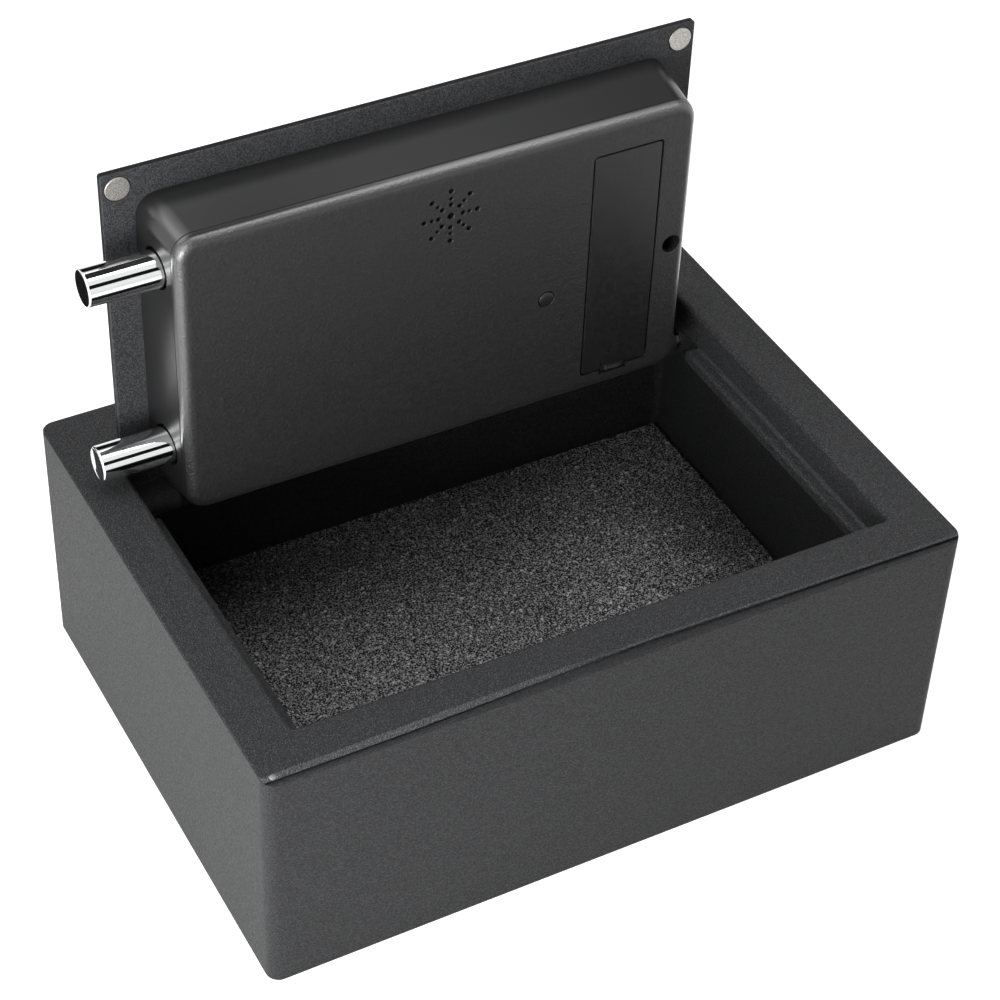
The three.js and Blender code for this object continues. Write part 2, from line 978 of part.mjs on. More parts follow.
function buzzerCan() {
  const top = coverInside - buzzer.gap;
  const form = turnedAlongZ([
    [0, top - buzzer.height],
    [buzzer.radius, top - buzzer.height],
    [buzzer.radius, top],
    [buzzer.radius - cover.wall, top],
    [buzzer.radius - cover.wall, top - buzzer.height / 2],
    [0, top - buzzer.height / 2],
  ]);
  return piece('buzzer', form.translate(speaker.x, speakerV, 0), darkPlastic);
}

function circuitBoard() {
  const top = coverInside - board.depthGap;
  const low = top - board.thickness;
  const far = board.near + boardLength;
  const right = boardLeft + boardWidth;
  const sheet = block(boardLeft, right, board.near, far, low, top);
  const half = board.switchSize / 2;
  const press = block(buttonX - half, buttonX + half, button.v - half, button.v + half,
    low + board.thickness / 2, top + board.switchHeight);
  const chips = board.chipShares.map((share) => {
    const v = board.near + boardLength * share + board.chipSize / 2;
    const x = boardLeft + board.chipSize;
    return block(x - board.chipSize / 2, x + board.chipSize / 2, v - board.chipSize / 2,
      v + board.chipSize / 2, low + board.thickness / 2, top + board.chipHeight);
  });
  const posts = [];
  for (const x of [boardLeft + board.postRadius * 2, right - board.postRadius * 2]) {
    for (const v of [board.near + board.postRadius * 2, far - board.postRadius * 2]) {
      posts.push(disc(x, v, board.postRadius, low + board.thickness / 2, coverInside - fit.seat,
        facets.small));
    }
  }
  return piece('circuit_board', join(sheet, press, ...chips, ...posts), fibre);
}

function programButton() {
  const stemLow = coverInside - board.depthGap + board.switchHeight + button.travel + fit.seat;
  const flangeTop = coverInside - fit.seat;
  const flangeLow = flangeTop - button.flange;
  const dome = arc(0, 0, button.radius, 0, Math.PI / 2, facets.bend)
    .map(({ x, y }) => [x, coverFront + y * button.dome / button.radius]);
  const form = turnedAlongZ([
    [0, stemLow],
    [button.stemRadius, stemLow],
    [button.stemRadius, flangeLow],
    [button.flangeRadius, flangeLow],
    [button.flangeRadius, flangeTop],
    [button.radius, flangeTop],
    ...dome,
  ]);
  return piece('program_button', form.translate(buttonX, button.v, 0), plastic);
}

// Bolt work

function lockingBolt(name, v) {
  const end = boltEnd;
  const inside = end + bolt.length;
  const form = turnedAlongX([
    [0, end],
    [bolt.radius - bolt.chamfer, end],
    [bolt.radius, end + bolt.chamfer],
    [bolt.radius, inside],
    [0, inside],
  ], facets.round + facets.bend);
  return piece(name, form.translate(0, v, boltDepth), chrome);
}

function boltGuide(name, v) {
  const left = cover.draft + cover.wall + fit.overrun - coverHalf;
  const half = guide.width / 2;
  const top = boltDepth + guide.front;
  const body = block(left, left + guide.length, v - half, v + half, plateFace, top);
  const bore = circleOutline(v, boltDepth, bolt.radius + fit.running, facets.round + facets.bend);
  const tool = runAlongX(bore, left - fit.overrun, left + guide.length + fit.overrun);
  return piece(name, cut(body, tool), steel);
}

function rackHeight() {
  return (bolt.low + boltHigh) / 2;
}

function pinionPlace() {
  const inside = boltEnd + bolt.length + fit.seat + carrier.thickness;
  const x = inside + carrier.arm - pitchRadius;
  const v = rackHeight() + carrier.armHeight / 2 + pitchRadius;
  return { x, v };
}

// One rack tooth gap repeats at the gear's pitch. The teeth point away from the hinge.
function rackTeeth(from, to, line, low, high) {
  const pitch = Math.PI * gear.module;
  const lean = Math.tan(gear.pressureAngle);
  const half = pitch / 4 - gear.backlash / 2;
  const { x: centre } = pinionPlace();
  const teeth = [];
  const first = Math.ceil((from - centre) / pitch - 0.5);
  for (let index = first; centre + (index + 0.5) * pitch < to - half; index += 1) {
    const x = centre + (index + 0.5) * pitch;
    if (x - half * 2 < from) {
      continue;
    }
    const foot = half + gear.dedendum * lean;
    const tip = half - gear.addendum * lean;
    teeth.push(prism([
      new THREE.Vector2(x + foot, line - gear.dedendum),
      new THREE.Vector2(x + tip, line + gear.addendum),
      new THREE.Vector2(x - tip, line + gear.addendum),
      new THREE.Vector2(x - foot, line - gear.dedendum),
    ], low, high));
  }
  return teeth;
}

function boltCarrier() {
  const left = boltEnd + bolt.length + fit.seat;
  const right = left + carrier.thickness;
  const low = boltDepth - carrier.width / 2;
  const high = boltDepth + carrier.width / 2;
  const bar = block(left, right, bolt.low - carrier.overhang, boltHigh + carrier.overhang, low, high);
  const line = rackHeight() + carrier.armHeight / 2;
  const gearLow = low + gear.lift;
  const gearHigh = gearLow + gear.width;
  const arm = block(left, right + carrier.arm, line - gear.dedendum - carrier.armHeight,
    line - gear.dedendum + fit.seat / 2, gearLow, gearHigh);
  const teeth = rackTeeth(right, right + carrier.arm, line, gearLow, gearHigh);
  return piece('bolt_carrier', join(bar, arm, ...teeth), steel);
}

// Involute teeth. The tooth pointing along +X at zero turn is at a whole pitch.
function pinionOutline() {
  const base = pitchRadius * Math.cos(gear.pressureAngle);
  const tip = pitchRadius + gear.addendum;
  const root = pitchRadius - gear.dedendum;
  const roll = (radius) => {
    const angle = Math.acos(Math.min(1, base / radius));
    return Math.tan(angle) - angle;
  };
  const half = Math.PI / (2 * gear.teeth) - gear.backlash / (2 * pitchRadius) + roll(pitchRadius);
  const points = [];
  const polar = (radius, angle) => points.push(new THREE.Vector2(
    radius * Math.cos(angle), radius * Math.sin(angle)));
  for (let tooth = 0; tooth < gear.teeth; tooth += 1) {
    const middle = tooth / gear.teeth * Math.PI * 2 - Math.PI / 2;
    polar(root, middle - half);
    for (let step = 0; step <= gear.flankSteps; step += 1) {
      const radius = base + (tip - base) * step / gear.flankSteps;
      polar(radius, middle - half + roll(radius));
    }
    for (let step = gear.flankSteps; step >= 0; step -= 1) {
      const radius = base + (tip - base) * step / gear.flankSteps;
      polar(radius, middle + half - roll(radius));
    }
    polar(root, middle + half);
  }
  return points;
}

function motorPinion() {
  const { x, v } = pinionPlace();
  const low = boltDepth - carrier.width / 2 + gear.lift;
  const form = prism(pinionOutline(), low, low + gear.width);
  const bore = disc(0, 0, gear.boreRadius, low - fit.overrun, low + gear.width + fit.overrun, facets.small);
  return piece('motor_pinion', cut(form, bore).translate(x, v, 0), brass);
}

function gearMotor() {
  const { x, v } = pinionPlace();
  const top = boltDepth - carrier.width / 2 - fit.seat;
  const reach = top + gear.lift + gear.width + fit.seat * 2;
  const half = motor.gearboxWidth / 2;
  const low = plateFace;
  const gearbox = block(x - half, x + half, v - half, v - half + motor.gearboxHeight, low, top);
  const can = circleOutline(x, (low + top) / 2, Math.min(motor.canRadius, (top - low) / 2), facets.round);
  const start = v - half + motor.gearboxHeight;
  const body = runAlongY(can, start - fit.overrun, start + motor.canLength);
  const shaft = disc(x, v, motor.shaftRadius, top - fit.overrun, reach, facets.small);
  return piece('gear_motor', join(gearbox, body, shaft), steel);
}

// Keypad, on the plate's outer side, so its heights go down from the plate.

function padOutline(inset, round) {
  const half = pad.width / 2 - inset;
  return roundedOutline(-half, half, padNear + inset, padNear + pad.length - inset,
    pad.cornerRadius - round);
}

function padForm() {
  const top = plateOuter - pad.height;
  const sections = [];
  for (const { x, y } of arc(0, pad.edgeFillet, pad.edgeFillet, -Math.PI / 2, 0, facets.bend)) {
    const drawn = pad.edgeFillet - x;
    sections.push({ outline: padOutline(pad.draft + drawn, drawn), z: top + y });
  }
  sections.push({ outline: padOutline(0, 0), z: plateOuter });
  return loft(sections);
}

function keyPlaces() {
  const places = [];
  for (let row = 0; row < key.rows; row += 1) {
    for (let column = 0; column < key.columns; column += 1) {
      places.push({
        name: `key_${row * key.columns + column + 1}`,
        x: (column - (key.columns - 1) / 2) * key.pitchX,
        v: padNear + key.fromNear + row * key.pitchV,
      });
    }
  }
  return places;
}

function keyOutline(x, v, outset, round) {
  const halfX = key.width / 2 + outset;
  const halfV = key.length / 2 + outset;
  return roundedOutline(x - halfX, x + halfX, v - halfV, v + halfV, key.cornerRadius + round);
}

function windowOutline(outset) {
  const half = statusWindow.width / 2 + outset;
  const high = padNear + pad.length - statusWindow.fromFar + outset;
  const low = high - statusWindow.length - outset * 2;
  return roundedOutline(-half, half, low, high, statusWindow.cornerRadius + outset);
}

function keypadHousing() {
  const top = plateOuter - pad.height;
  const depth = key.height - key.proud + key.travel + fit.seat;
  const pockets = keyPlaces().map(({ x, v }) => (
    prism(keyOutline(x, v, key.gap, key.gap), top - fit.overrun, top + depth)));
  const window = prism(windowOutline(fit.seat), top - fit.overrun, top + statusWindow.thickness);
  const lockHole = disc(lock.x, lockV, lock.bodyRadius + fit.seat, top - fit.overrun,
    plateOuter + fit.overrun);
  return piece('keypad_housing', cut(padForm(), ...pockets, window, lockHole), darkPlastic);
}

function keypadKey({ name, x, v }) {
  const top = plateOuter - pad.height - key.proud;
  const fillet = key.topFillet;
  const step = fillet * key.topStepShare;
  const sections = [
    { outline: keyOutline(x, v, -fillet, -fillet), z: top },
    { outline: keyOutline(x, v, -step, -step), z: top + step },
    { outline: keyOutline(x, v, 0, 0), z: top + fillet },
    { outline: keyOutline(x, v, 0, 0), z: top + key.height },
  ];
  return piece(name, loft(sections), rubber);
}

function statusLens() {
  const top = plateOuter - pad.height;
  return piece('status_window', prism(windowOutline(0), top, top + statusWindow.thickness - fit.seat), lens);
}

// The emergency lock goes through the keypad housing and the plate. Its mouth lies below the
// housing's face, where a cap closes it.
function lockBody() {
  const outer = plateOuter - pad.height + lock.mouth;
  const inner = outer + lock.bodyLength;
  const body = disc(lock.x, lockV, lock.bodyRadius, outer, inner);
  const bore = disc(lock.x, lockV, lock.coreRadius + fit.running, outer - fit.overrun, inner + fit.overrun);
  return piece('lock_body', cut(body, bore), steel);
}

function lockCore() {
  const outer = plateOuter - pad.height + lock.mouth;
  const inner = outer + lock.bodyLength + fit.seat;
  const core = disc(lock.x, lockV, lock.coreRadius, outer, inner + lock.tailSheet / 2);
  const half = lock.tailWidth / 2;
  const tail = block(lock.x - half, lock.x + half, lockV - lock.tailLength, lockV + half,
    inner, inner + lock.tailSheet);
  const slot = block(lock.x - lock.slotWidth / 2, lock.x + lock.slotWidth / 2,
    lockV - lock.slotLength / 2, lockV + lock.slotLength / 2, outer - fit.overrun,
    outer + lock.slotDepth);
  return piece('lock_core', cut(join(core, tail), slot), brass);
}

function lockCap() {
  const high = plateOuter - pad.height - fit.seat;
  const low = high - cap.height;
  const form = turnedAlongZ([
    [0, low],
    [cap.radius - cap.edgeRound, low],
    [cap.radius, low + cap.edgeRound],
    [cap.radius, high],
    [cap.plugRadius, high],
    [cap.plugRadius, high + cap.plug],
    [0, high + cap.plug],
  ]).translate(lock.x, lockV, 0);
  const half = cap.notchWidth / 2;
  const notch = block(lock.x - half, lock.x + half, lockV - cap.radius - fit.overrun,
    lockV - cap.radius + cap.notchDepth, low - fit.overrun, high + fit.overrun);
  return piece('lock_cap', cut(form, notch), darkPlastic);
}

// Assembly

const safe = new THREE.Group();
safe.add(
  ...bodyWalls(),
  floorPan(),
  foamMat(),
  topFrame(),
  sideLedge('left_ledge', -1, ledge.boltSideWidth),
  sideLedge('right_ledge', 1, ledge.width),
  frontLedge(),
  hingeBracket('hinge_bracket_left', -1),
  hingeBracket('hinge_bracket_right', 1),
  hingePin('hinge_pin_left', -1),
  hingePin('hinge_pin_right', 1),
);

const door = new THREE.Group();
door.position.set(0, hingeY, hingeZ);
door.rotation.x = Math.PI / 2;
door.add(
  doorPlate(),
  barrel('hinge_barrel_left', -1),
  barrel('hinge_barrel_right', 1),
  ...magnetPlaces().map(magnetDisc),
  doorCover(),
  coverScrew(),
  batteryTray(),
  ...batteryCells(),
  ...batteryContacts(),
  batteryLid(),
  buzzerCan(),
  circuitBoard(),
  programButton(),
  lockingBolt('locking_bolt_lower', bolt.low),
  lockingBolt('locking_bolt_upper', boltHigh),
  boltGuide('bolt_guide_lower', bolt.low),
  boltGuide('bolt_guide_upper', boltHigh),
  boltCarrier(),
  motorPinion(),
  gearMotor(),
  keypadHousing(),
  ...keyPlaces().map(keypadKey),
  statusLens(),
  lockBody(),
  lockCore(),
  lockCap(),
);
safe.add(door);

export default safe;
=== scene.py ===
import json
import math
import random

import bmesh
import bpy
from mathutils import Euler, Matrix, Vector


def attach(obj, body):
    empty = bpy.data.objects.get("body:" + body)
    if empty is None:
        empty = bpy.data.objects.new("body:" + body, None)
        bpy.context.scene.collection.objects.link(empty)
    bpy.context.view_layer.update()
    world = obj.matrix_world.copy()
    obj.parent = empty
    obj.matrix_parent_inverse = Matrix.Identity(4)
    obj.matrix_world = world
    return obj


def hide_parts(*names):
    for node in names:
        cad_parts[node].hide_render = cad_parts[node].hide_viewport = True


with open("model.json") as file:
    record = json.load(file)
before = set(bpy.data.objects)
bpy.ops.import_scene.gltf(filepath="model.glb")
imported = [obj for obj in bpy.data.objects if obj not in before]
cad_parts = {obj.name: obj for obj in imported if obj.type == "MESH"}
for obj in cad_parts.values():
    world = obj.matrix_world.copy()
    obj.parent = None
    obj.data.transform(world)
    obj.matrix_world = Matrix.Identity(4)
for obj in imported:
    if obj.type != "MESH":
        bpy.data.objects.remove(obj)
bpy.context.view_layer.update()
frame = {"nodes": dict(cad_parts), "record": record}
nodes = frame["nodes"]
scene = bpy.context.scene
print("frame loaded with", len(nodes), "nodes")


# Camera, set to the photograph's viewing angle

cameraValues = {
    "place": (-0.473013, -0.831168, 0.956278),
    "turn": (0.842, -0.0199, -0.4757),
    "lens": 96.549,
    "shiftX": 0.05641,
    "shiftY": 0.02027,
}


def addObject(name, data):
    piece = bpy.data.objects.new(name, data)
    scene.collection.objects.link(piece)
    return piece


def makeCamera():
    data = bpy.data.cameras.new("photoCamera")
    data.sensor_width = 36
    data.lens = cameraValues["lens"]
    data.shift_x = cameraValues["shiftX"]
    data.shift_y = cameraValues["shiftY"]
    data.clip_start = 0.05
    data.clip_end = 50
    camera = addObject("photoCamera", data)
    camera.location = cameraValues["place"]
    camera.rotation_euler = Euler(cameraValues["turn"], "XYZ")
    scene.camera = camera


makeCamera()
print("camera made")


# Mesh helpers. Points are in millimetres and become metres here.

def addMesh(name, points, faces, material=None, sharpAngle=32):
    mesh = bpy.data.meshes.new(name)
    mesh.from_pydata([(x / 1000, y / 1000, z / 1000) for x, y, z in points], [], faces)
    piece = addObject(name, mesh)
    tidyMesh(piece, sharpAngle)
    if material:
        mesh.materials.append(material)
    return piece


def tidyMesh(piece, sharpAngle=32):
    form = bmesh.new()
    form.from_mesh(piece.data)
    bmesh.ops.remove_doubles(form, verts=form.verts, dist=1e-7)
    bmesh.ops.recalc_face_normals(form, faces=form.faces)
    form.to_mesh(piece.data)
    form.free()
    for face in piece.data.polygons:
        face.use_smooth = True
    piece.data.set_sharp_from_angle(angle=math.radians(sharpAngle))


def roundedRing(left, right, low, high, radius, steps=6):
    corners = ((right - radius, high - radius), (left + radius, high - radius),
               (left + radius, low + radius), (right - radius, low + radius))
    ring = []
    for quarter, (x, y) in enumerate(corners):
        for step in range(steps + 1):
            angle = (quarter + step / steps) * math.pi / 2
            ring.append((x + radius * math.cos(angle), y + radius * math.sin(angle)))
    return ring


def arcPoints(x, y, radius, start, end, steps):
    angles = [start + (end - start) * i / steps for i in range(steps + 1)]
    return [(x + radius * math.cos(angle), y + radius * math.sin(angle)) for angle in angles]


# A flat rectangle, in metres
def planeMesh(name, x, y, z=0):
    mesh = bpy.data.meshes.new(name)
    mesh.from_pydata([(-x, -y, z), (x, -y, z), (x, y, z), (-x, y, z)], [], [(0, 1, 2, 3)])
    return mesh


# Joins rings of points with equal counts. A loop closes on its first ring, otherwise the ends are capped.
def loftRings(name, rings, material=None, loop=False, sharpAngle=32):
    count = len(rings[0])
    points = [point for ring in rings for point in ring]
    faces = []
    for band in range(len(rings) if loop else len(rings) - 1):
        lower, upper = band * count, ((band + 1) % len(rings)) * count
        for i in range(count):
            j = (i + 1) % count
            faces.append((lower + i, lower + j, upper + j, upper + i))
    if not loop:
        faces.append(tuple(reversed(range(count))))
        faces.append(tuple(range(len(points) - count, len(points))))
    return addMesh(name, points, faces, material, sharpAngle)


# The door stands open: v runs up the plate from the hinge axis, w comes out of its inner side.
hingeLine = {"y": 82.4, "z": 103.7}


def onDoor(x, v, w):
    return (x, hingeLine["y"] - w, hingeLine["z"] + v)


# Sections are outlines drawn on the open door, each with its own w
def doorRings(sections):
    return [[onDoor(x, v, w) for x, v in ring] for ring, w in sections]


def doorLoft(name, sections, material=None, sharpAngle=32):
    return loftRings(name, doorRings(sections), material, sharpAngle=sharpAngle)


# Turns a profile of (radius, along) points round an axis through a place
def turnProfile(name, profile, place, axis, sides=64, material=None, sharpAngle=32):
    rings = []
    for radius, along in profile:
        ring = []
        for i in range(sides):
            angle = 2 * math.pi * i / sides
            a, b = max(radius, 0.001) * math.cos(angle), max(radius, 0.001) * math.sin(angle)
            offset = {"x": (along, a, b), "y": (b, along, a), "z": (a, b, along)}[axis]
            ring.append(tuple(p + o for p, o in zip(place, offset)))
        rings.append(ring)
    return loftRings(name, rings, material, sharpAngle=sharpAngle)


# A plain round tool from start to end along its axis
def rod(name, radius, start, end, place, axis, sides=64):
    return turnProfile(name, [(0, start), (radius, start), (radius, end), (0, end)], place, axis, sides)


def evaluated(piece):
    graph = bpy.context.evaluated_depsgraph_get()
    return bpy.data.meshes.new_from_object(piece.evaluated_get(graph), depsgraph=graph)


# Turns what the modifiers make into a plain mesh, and leaves it as it is when no sharp angle is given
def settle(piece, sharpAngle=32):
    made = evaluated(piece)
    piece.modifiers.clear()
    piece.data = made
    if sharpAngle:
        tidyMesh(piece, sharpAngle)
    return piece


def boolean(piece, tools, operation="DIFFERENCE", sharpAngle=32):
    for tool in tools:
        step = piece.modifiers.new("cut", "BOOLEAN")
        step.operation = operation
        step.solver = "EXACT"
        step.object = tool
        settle(piece, sharpAngle)
    for tool in tools:
        bpy.data.objects.remove(tool)


def finishPiece(piece, body, slotName, *stoodFor):
    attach(piece, body)
    if stoodFor:
        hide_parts(*stoodFor)


# Node helpers. A value given as a socket is linked, and any other value is set.

def setInput(tree, socket, value):
    if isinstance(value, bpy.types.NodeSocket):
        tree.links.new(value, socket)
    else:
        socket.default_value = value


def setNode(tree, node, **settings):
    for key, value in settings.items():
        if key in node.bl_rna.properties:
            setattr(node, key, value)
        else:
            setInput(tree, node.inputs[key.replace("_", " ")], value)


def addNode(tree, kind, **settings):
    node = tree.nodes.new(kind)
    setNode(tree, node, **settings)
    return node


def newMaterial(name, **sockets):
    material = bpy.data.materials.new(name)
    material.use_nodes = True
    tree = material.node_tree
    shader = tree.nodes["Principled BSDF"]
    setNode(tree, shader, **sockets)
    return material, tree, shader, addNode(tree, "ShaderNodeTexCoord").outputs["Object"]


def mathFrom(tree, operation, *values, **settings):
    node = addNode(tree, "ShaderNodeMath", operation=operation, **settings)
    for socket, value in zip(node.inputs, values):
        setInput(tree, socket, value)
    return node.outputs[0]


def splitFrom(tree, place):
    return addNode(tree, "ShaderNodeSeparateXYZ", Vector=place).outputs


def rangeFrom(tree, value, start, end):
    return addNode(tree, "ShaderNodeMapRange", Value=value, From_Min=start, From_Max=end).outputs["Result"]


def stretchFrom(tree, place, *scale):
    return addNode(tree, "ShaderNodeMapping", Vector=place, Scale=scale).outputs["Vector"]


def noiseFrom(tree, place, scale, detail=2.0, roughness=0.5):
    noise = addNode(tree, "ShaderNodeTexNoise", Vector=place, Scale=scale, Detail=detail, Roughness=roughness)
    return noise.outputs["Fac"]


def rampFrom(tree, value, *stops):
    ramp = addNode(tree, "ShaderNodeValToRGB", Fac=value)
    elements = ramp.color_ramp.elements
    while len(elements) < len(stops):
        elements.new(0.5)
    for element, (position, color) in zip(elements, stops):
        element.position = position
        element.color = color if isinstance(color, tuple) else (color, color, color, 1)
    return ramp.outputs["Color"]


# A value or a colour that drifts between two with noise
def varied(tree, place, scale, detail, low, high):
    return rampFrom(tree, noiseFrom(tree, place, scale, detail), (0.3, low), (0.7, high))


def bumpFrom(tree, height, strength, distance, **under):
    bump = addNode(tree, "ShaderNodeBump", Height=height, Strength=strength, Distance=distance, **under)
    return bump.outputs["Normal"]


def mixNumbers(tree, share, low, high):
    mix = addNode(tree, "ShaderNodeMix", data_type="FLOAT")
    for index, value in ((0, share), (2, low), (3, high)):
        setInput(tree, mix.inputs[index], value)
    return mix.outputs[0]


def mixColors(tree, share, low, high):
    mix = addNode(tree, "ShaderNodeMix", data_type="RGBA")
    for index, value in ((0, share), (6, low), (7, high)):
        setInput(tree, mix.inputs[index], value)
    return mix.outputs[2]


def dimmed(color, share):
    return tuple(c * share for c in color[:3]) + (1,)


# Powder coat: a fine orange peel with a faint mottle in tone and gloss

powderValues = {
    "dark": (0.013, 0.0133, 0.0142, 1),
    "light": (0.043, 0.0437, 0.0458, 1),
    "fleck": (0.14, 0.14, 0.144, 1),
    # The darker tone and its low gloss are painted shade for the band under the rim's overhang
    "paintedShade": (0.006, 0.006, 0.0063, 1),
    "gloss": 0.22, "paintedShadeGloss": 0.03, "smooth": 0.46, "rough": 0.62,
    "grain": 1500, "mottle": 900, "flecks": 1100, "peel": 1150, "peelHeight": 0.0004,
}


def makePowderCoat(name="blackPowderCoat", shift=1.0, paintedShadeBand=None, coarse=1.0):
    v = powderValues
    material, tree, shader, place = newMaterial(name, Specular_IOR_Level=v["gloss"])
    grain = noiseFrom(tree, place, v["grain"], 3, 0.6)
    tone = rampFrom(tree, grain, (0.42, dimmed(v["dark"], shift)), (0.62, dimmed(v["light"], shift)))
    spots = addNode(tree, "ShaderNodeTexVoronoi", Vector=place, Scale=v["flecks"]).outputs["Distance"]
    spotShare = rampFrom(tree, spots, (0.08 * coarse, min(0.95, 0.5 * coarse)), (0.17 * coarse, 0.0))
    coat = mixColors(tree, spotShare, tone, dimmed(v["fleck"], shift))
    if paintedShadeBand:
        # Painted shade: the coat turns darker and duller in the band just under the sheet above, where the
        # rim's overhang shades it
        reach = rangeFrom(tree, splitFrom(tree, place)["Z"], *paintedShadeBand)
        coat = mixColors(tree, reach, coat, v["paintedShade"])
        setNode(tree, shader, Specular_IOR_Level=mixNumbers(tree, reach, v["gloss"], v["paintedShadeGloss"]))
    peel = noiseFrom(tree, place, v["peel"], 2, 0.6)
    setNode(tree, shader, Base_Color=coat,
            Roughness=varied(tree, place, v["mottle"], 2, v["smooth"], v["rough"]),
            Normal=bumpFrom(tree, peel, 1.0, v["peelHeight"] * coarse))
    return material


# Moulded plastic: spark-textured on the face that shows, smooth on the drawn sides. The borders lie along y.

plasticValues = {
    "tone": (0.0115, 0.0117, 0.0122, 1),
    "toneHigh": (0.024, 0.0242, 0.025, 1),
    "filletFrom": 0.0533, "filletTo": 0.0545, "textureFrom": 0.0566, "textureTo": 0.0562,
    "grain": 1250, "texture": 800, "textureHeight": 0.00035,
    "smooth": 0.50, "rough": 0.62, "sideRough": 0.28, "filletRough": 0.34, "coat": 0.9, "coatRough": 0.26,
}


def makeCoverPlastic():
    v = plasticValues
    material, tree, shader, place = newMaterial("mattePlastic", Specular_IOR_Level=0.5,
                                                Coat_Roughness=v["coatRough"])
    depth = splitFrom(tree, place)["Y"]
    textured = rangeFrom(tree, depth, v["textureFrom"], v["textureTo"])
    fillet = rangeFrom(tree, depth, v["filletFrom"], v["filletTo"])
    grain = noiseFrom(tree, place, v["grain"], 3, 0.6)
    tone = rampFrom(tree, grain, (0.35, v["tone"]), (0.68, v["toneHigh"]))
    rough = varied(tree, place, 300, 2, v["smooth"], v["rough"])
    faceRough = mixNumbers(tree, fillet, rough, v["filletRough"])
    band = mixNumbers(tree, textured, 0.0, fillet)
    height = mixNumbers(tree, textured, 0.5, noiseFrom(tree, place, v["texture"], 2, 0.6))
    setNode(tree, shader, Base_Color=mixColors(tree, textured, v["tone"], tone),
            Roughness=mixNumbers(tree, textured, v["sideRough"], faceRough),
            Specular_IOR_Level=mixNumbers(tree, fillet, 0.5, 1.0),
            Coat_Weight=mixNumbers(tree, band, 0.0, v["coat"]),
            Normal=bumpFrom(tree, height, 1.0, v["textureHeight"]))
    return material


# A surface whose tone and gloss drift a little. Tone and rough are noise scale, detail, low and high,
# and grain is noise scale, bump strength and height.
def makeDrifting(name, tone, rough, grain=None, **sockets):
    material, tree, shader, place = newMaterial(name, **sockets)
    setNode(tree, shader, Base_Color=varied(tree, place, *tone), Roughness=varied(tree, place, *rough))
    if grain:
        scale, strength, height = grain
        setNode(tree, shader, Normal=bumpFrom(tree, noiseFrom(tree, place, scale), strength, height))
    return material


def makeSmoothPlastic(name, dark, light, roughness):
    return makeDrifting(name, (260, 3, dark, light), (500, 2, roughness - 0.05, roughness + 0.07),
                        (1800, 0.25, 0.00008), Specular_IOR_Level=0.45)


# Bright metals: a polish with faint turning marks, or a dull cast skin

def makeChrome():
    material, tree, shader, place = newMaterial("brightChrome", Metallic=1.0,
                                                Base_Color=(0.82, 0.825, 0.83, 1))
    smear = noiseFrom(tree, place, 90, 4, 0.6)
    lines = noiseFrom(tree, stretchFrom(tree, place, 60, 1400, 1400), 1.0)
    setNode(tree, shader, Roughness=rampFrom(tree, smear, (0.35, 0.035), (0.75, 0.085)),
            Normal=bumpFrom(tree, lines, 0.05, 0.00002))
    return material


def makeNickel():
    material, tree, shader, place = newMaterial("dullNickel", Metallic=1.0)
    pits = noiseFrom(tree, place, 1500, 4, 0.7)
    tone = rampFrom(tree, pits, (0.35, (0.24, 0.232, 0.22, 1)), (0.62, (0.56, 0.54, 0.51, 1)))
    setNode(tree, shader, Base_Color=tone, Roughness=varied(tree, place, 500, 3, 0.28, 0.5),
            Normal=bumpFrom(tree, pits, 0.7, 0.00018))
    return material


def makePlatedSteel(name="platedSteel", color=(0.55, 0.55, 0.54, 1)):
    material, tree, shader, place = newMaterial(name, Metallic=1.0)
    streak = noiseFrom(tree, stretchFrom(tree, place, 1800, 90, 90), 1.0)
    setNode(tree, shader, Base_Color=varied(tree, place, 160, 4, dimmed(color, 0.7), color),
            Roughness=rampFrom(tree, streak, (0.3, 0.24), (0.7, 0.42)),
            Normal=bumpFrom(tree, streak, 0.15, 0.00003))
    return material


# Foam: an open granular skin that carries the glitter

foamValues = {
    "deep": (0.010, 0.010, 0.0105, 1), "crest": (0.58, 0.58, 0.585, 1), "spark": (1.0, 1.0, 1.0, 1),
    "cells": 820, "cellHeight": 0.0007, "grain": 1000, "grainHeight": 0.0005,
}


def makeFoam():
    v = foamValues
    material, tree, shader, place = newMaterial("glitterFoam", Specular_IOR_Level=0.25, Roughness=0.9)
    cells = addNode(tree, "ShaderNodeTexVoronoi", Vector=place, Scale=v["cells"]).outputs
    grain = noiseFrom(tree, place, v["grain"], 3, 0.7)
    skin = rampFrom(tree, grain, (0.48, v["deep"]), (0.62, v["crest"]))
    sparkle = rampFrom(tree, cells["Color"], (0.80, 0.0), (0.92, 0.7))
    rise = bumpFrom(tree, cells["Distance"], 1.0, v["cellHeight"])
    setNode(tree, shader, Base_Color=mixColors(tree, sparkle, skin, v["spark"]),
            Normal=bumpFrom(tree, grain, 1.0, v["grainHeight"], Normal=rise))
    return material


def makeGlitter():
    material, tree, shader, place = newMaterial("glitterFleck", Metallic=0.0, Specular_IOR_Level=0.8)
    drift = noiseFrom(tree, place, 700, 1)
    tone = rampFrom(tree, drift, (0.3, (0.5, 0.5, 0.51, 1)), (0.6, (1.0, 1.0, 1.0, 1)))
    setNode(tree, shader, Base_Color=tone, Roughness=rampFrom(tree, drift, (0.3, 0.2), (0.7, 0.4)))
    return material


# Cell jacket: a dark wrap with one pale band, along the cell's length
def makeCellJacket():
    material, tree, shader, place = newMaterial("cellJacket", Specular_IOR_Level=0.5)
    dark, lighter, pale = (0.05, 0.055, 0.065, 1), (0.06, 0.065, 0.075, 1), (0.5, 0.42, 0.2, 1)
    lengths = mathFrom(tree, "MULTIPLY", splitFrom(tree, place)["Z"], 19.8)  # one over a cell's length
    along = mathFrom(tree, "FRACT", lengths)
    band = rampFrom(tree, along, (0.0, dark), (0.72, lighter), (0.74, pale), (1.0, pale))
    setNode(tree, shader, Base_Color=band, Roughness=varied(tree, place, 300, 2, 0.25, 0.4))
    return material


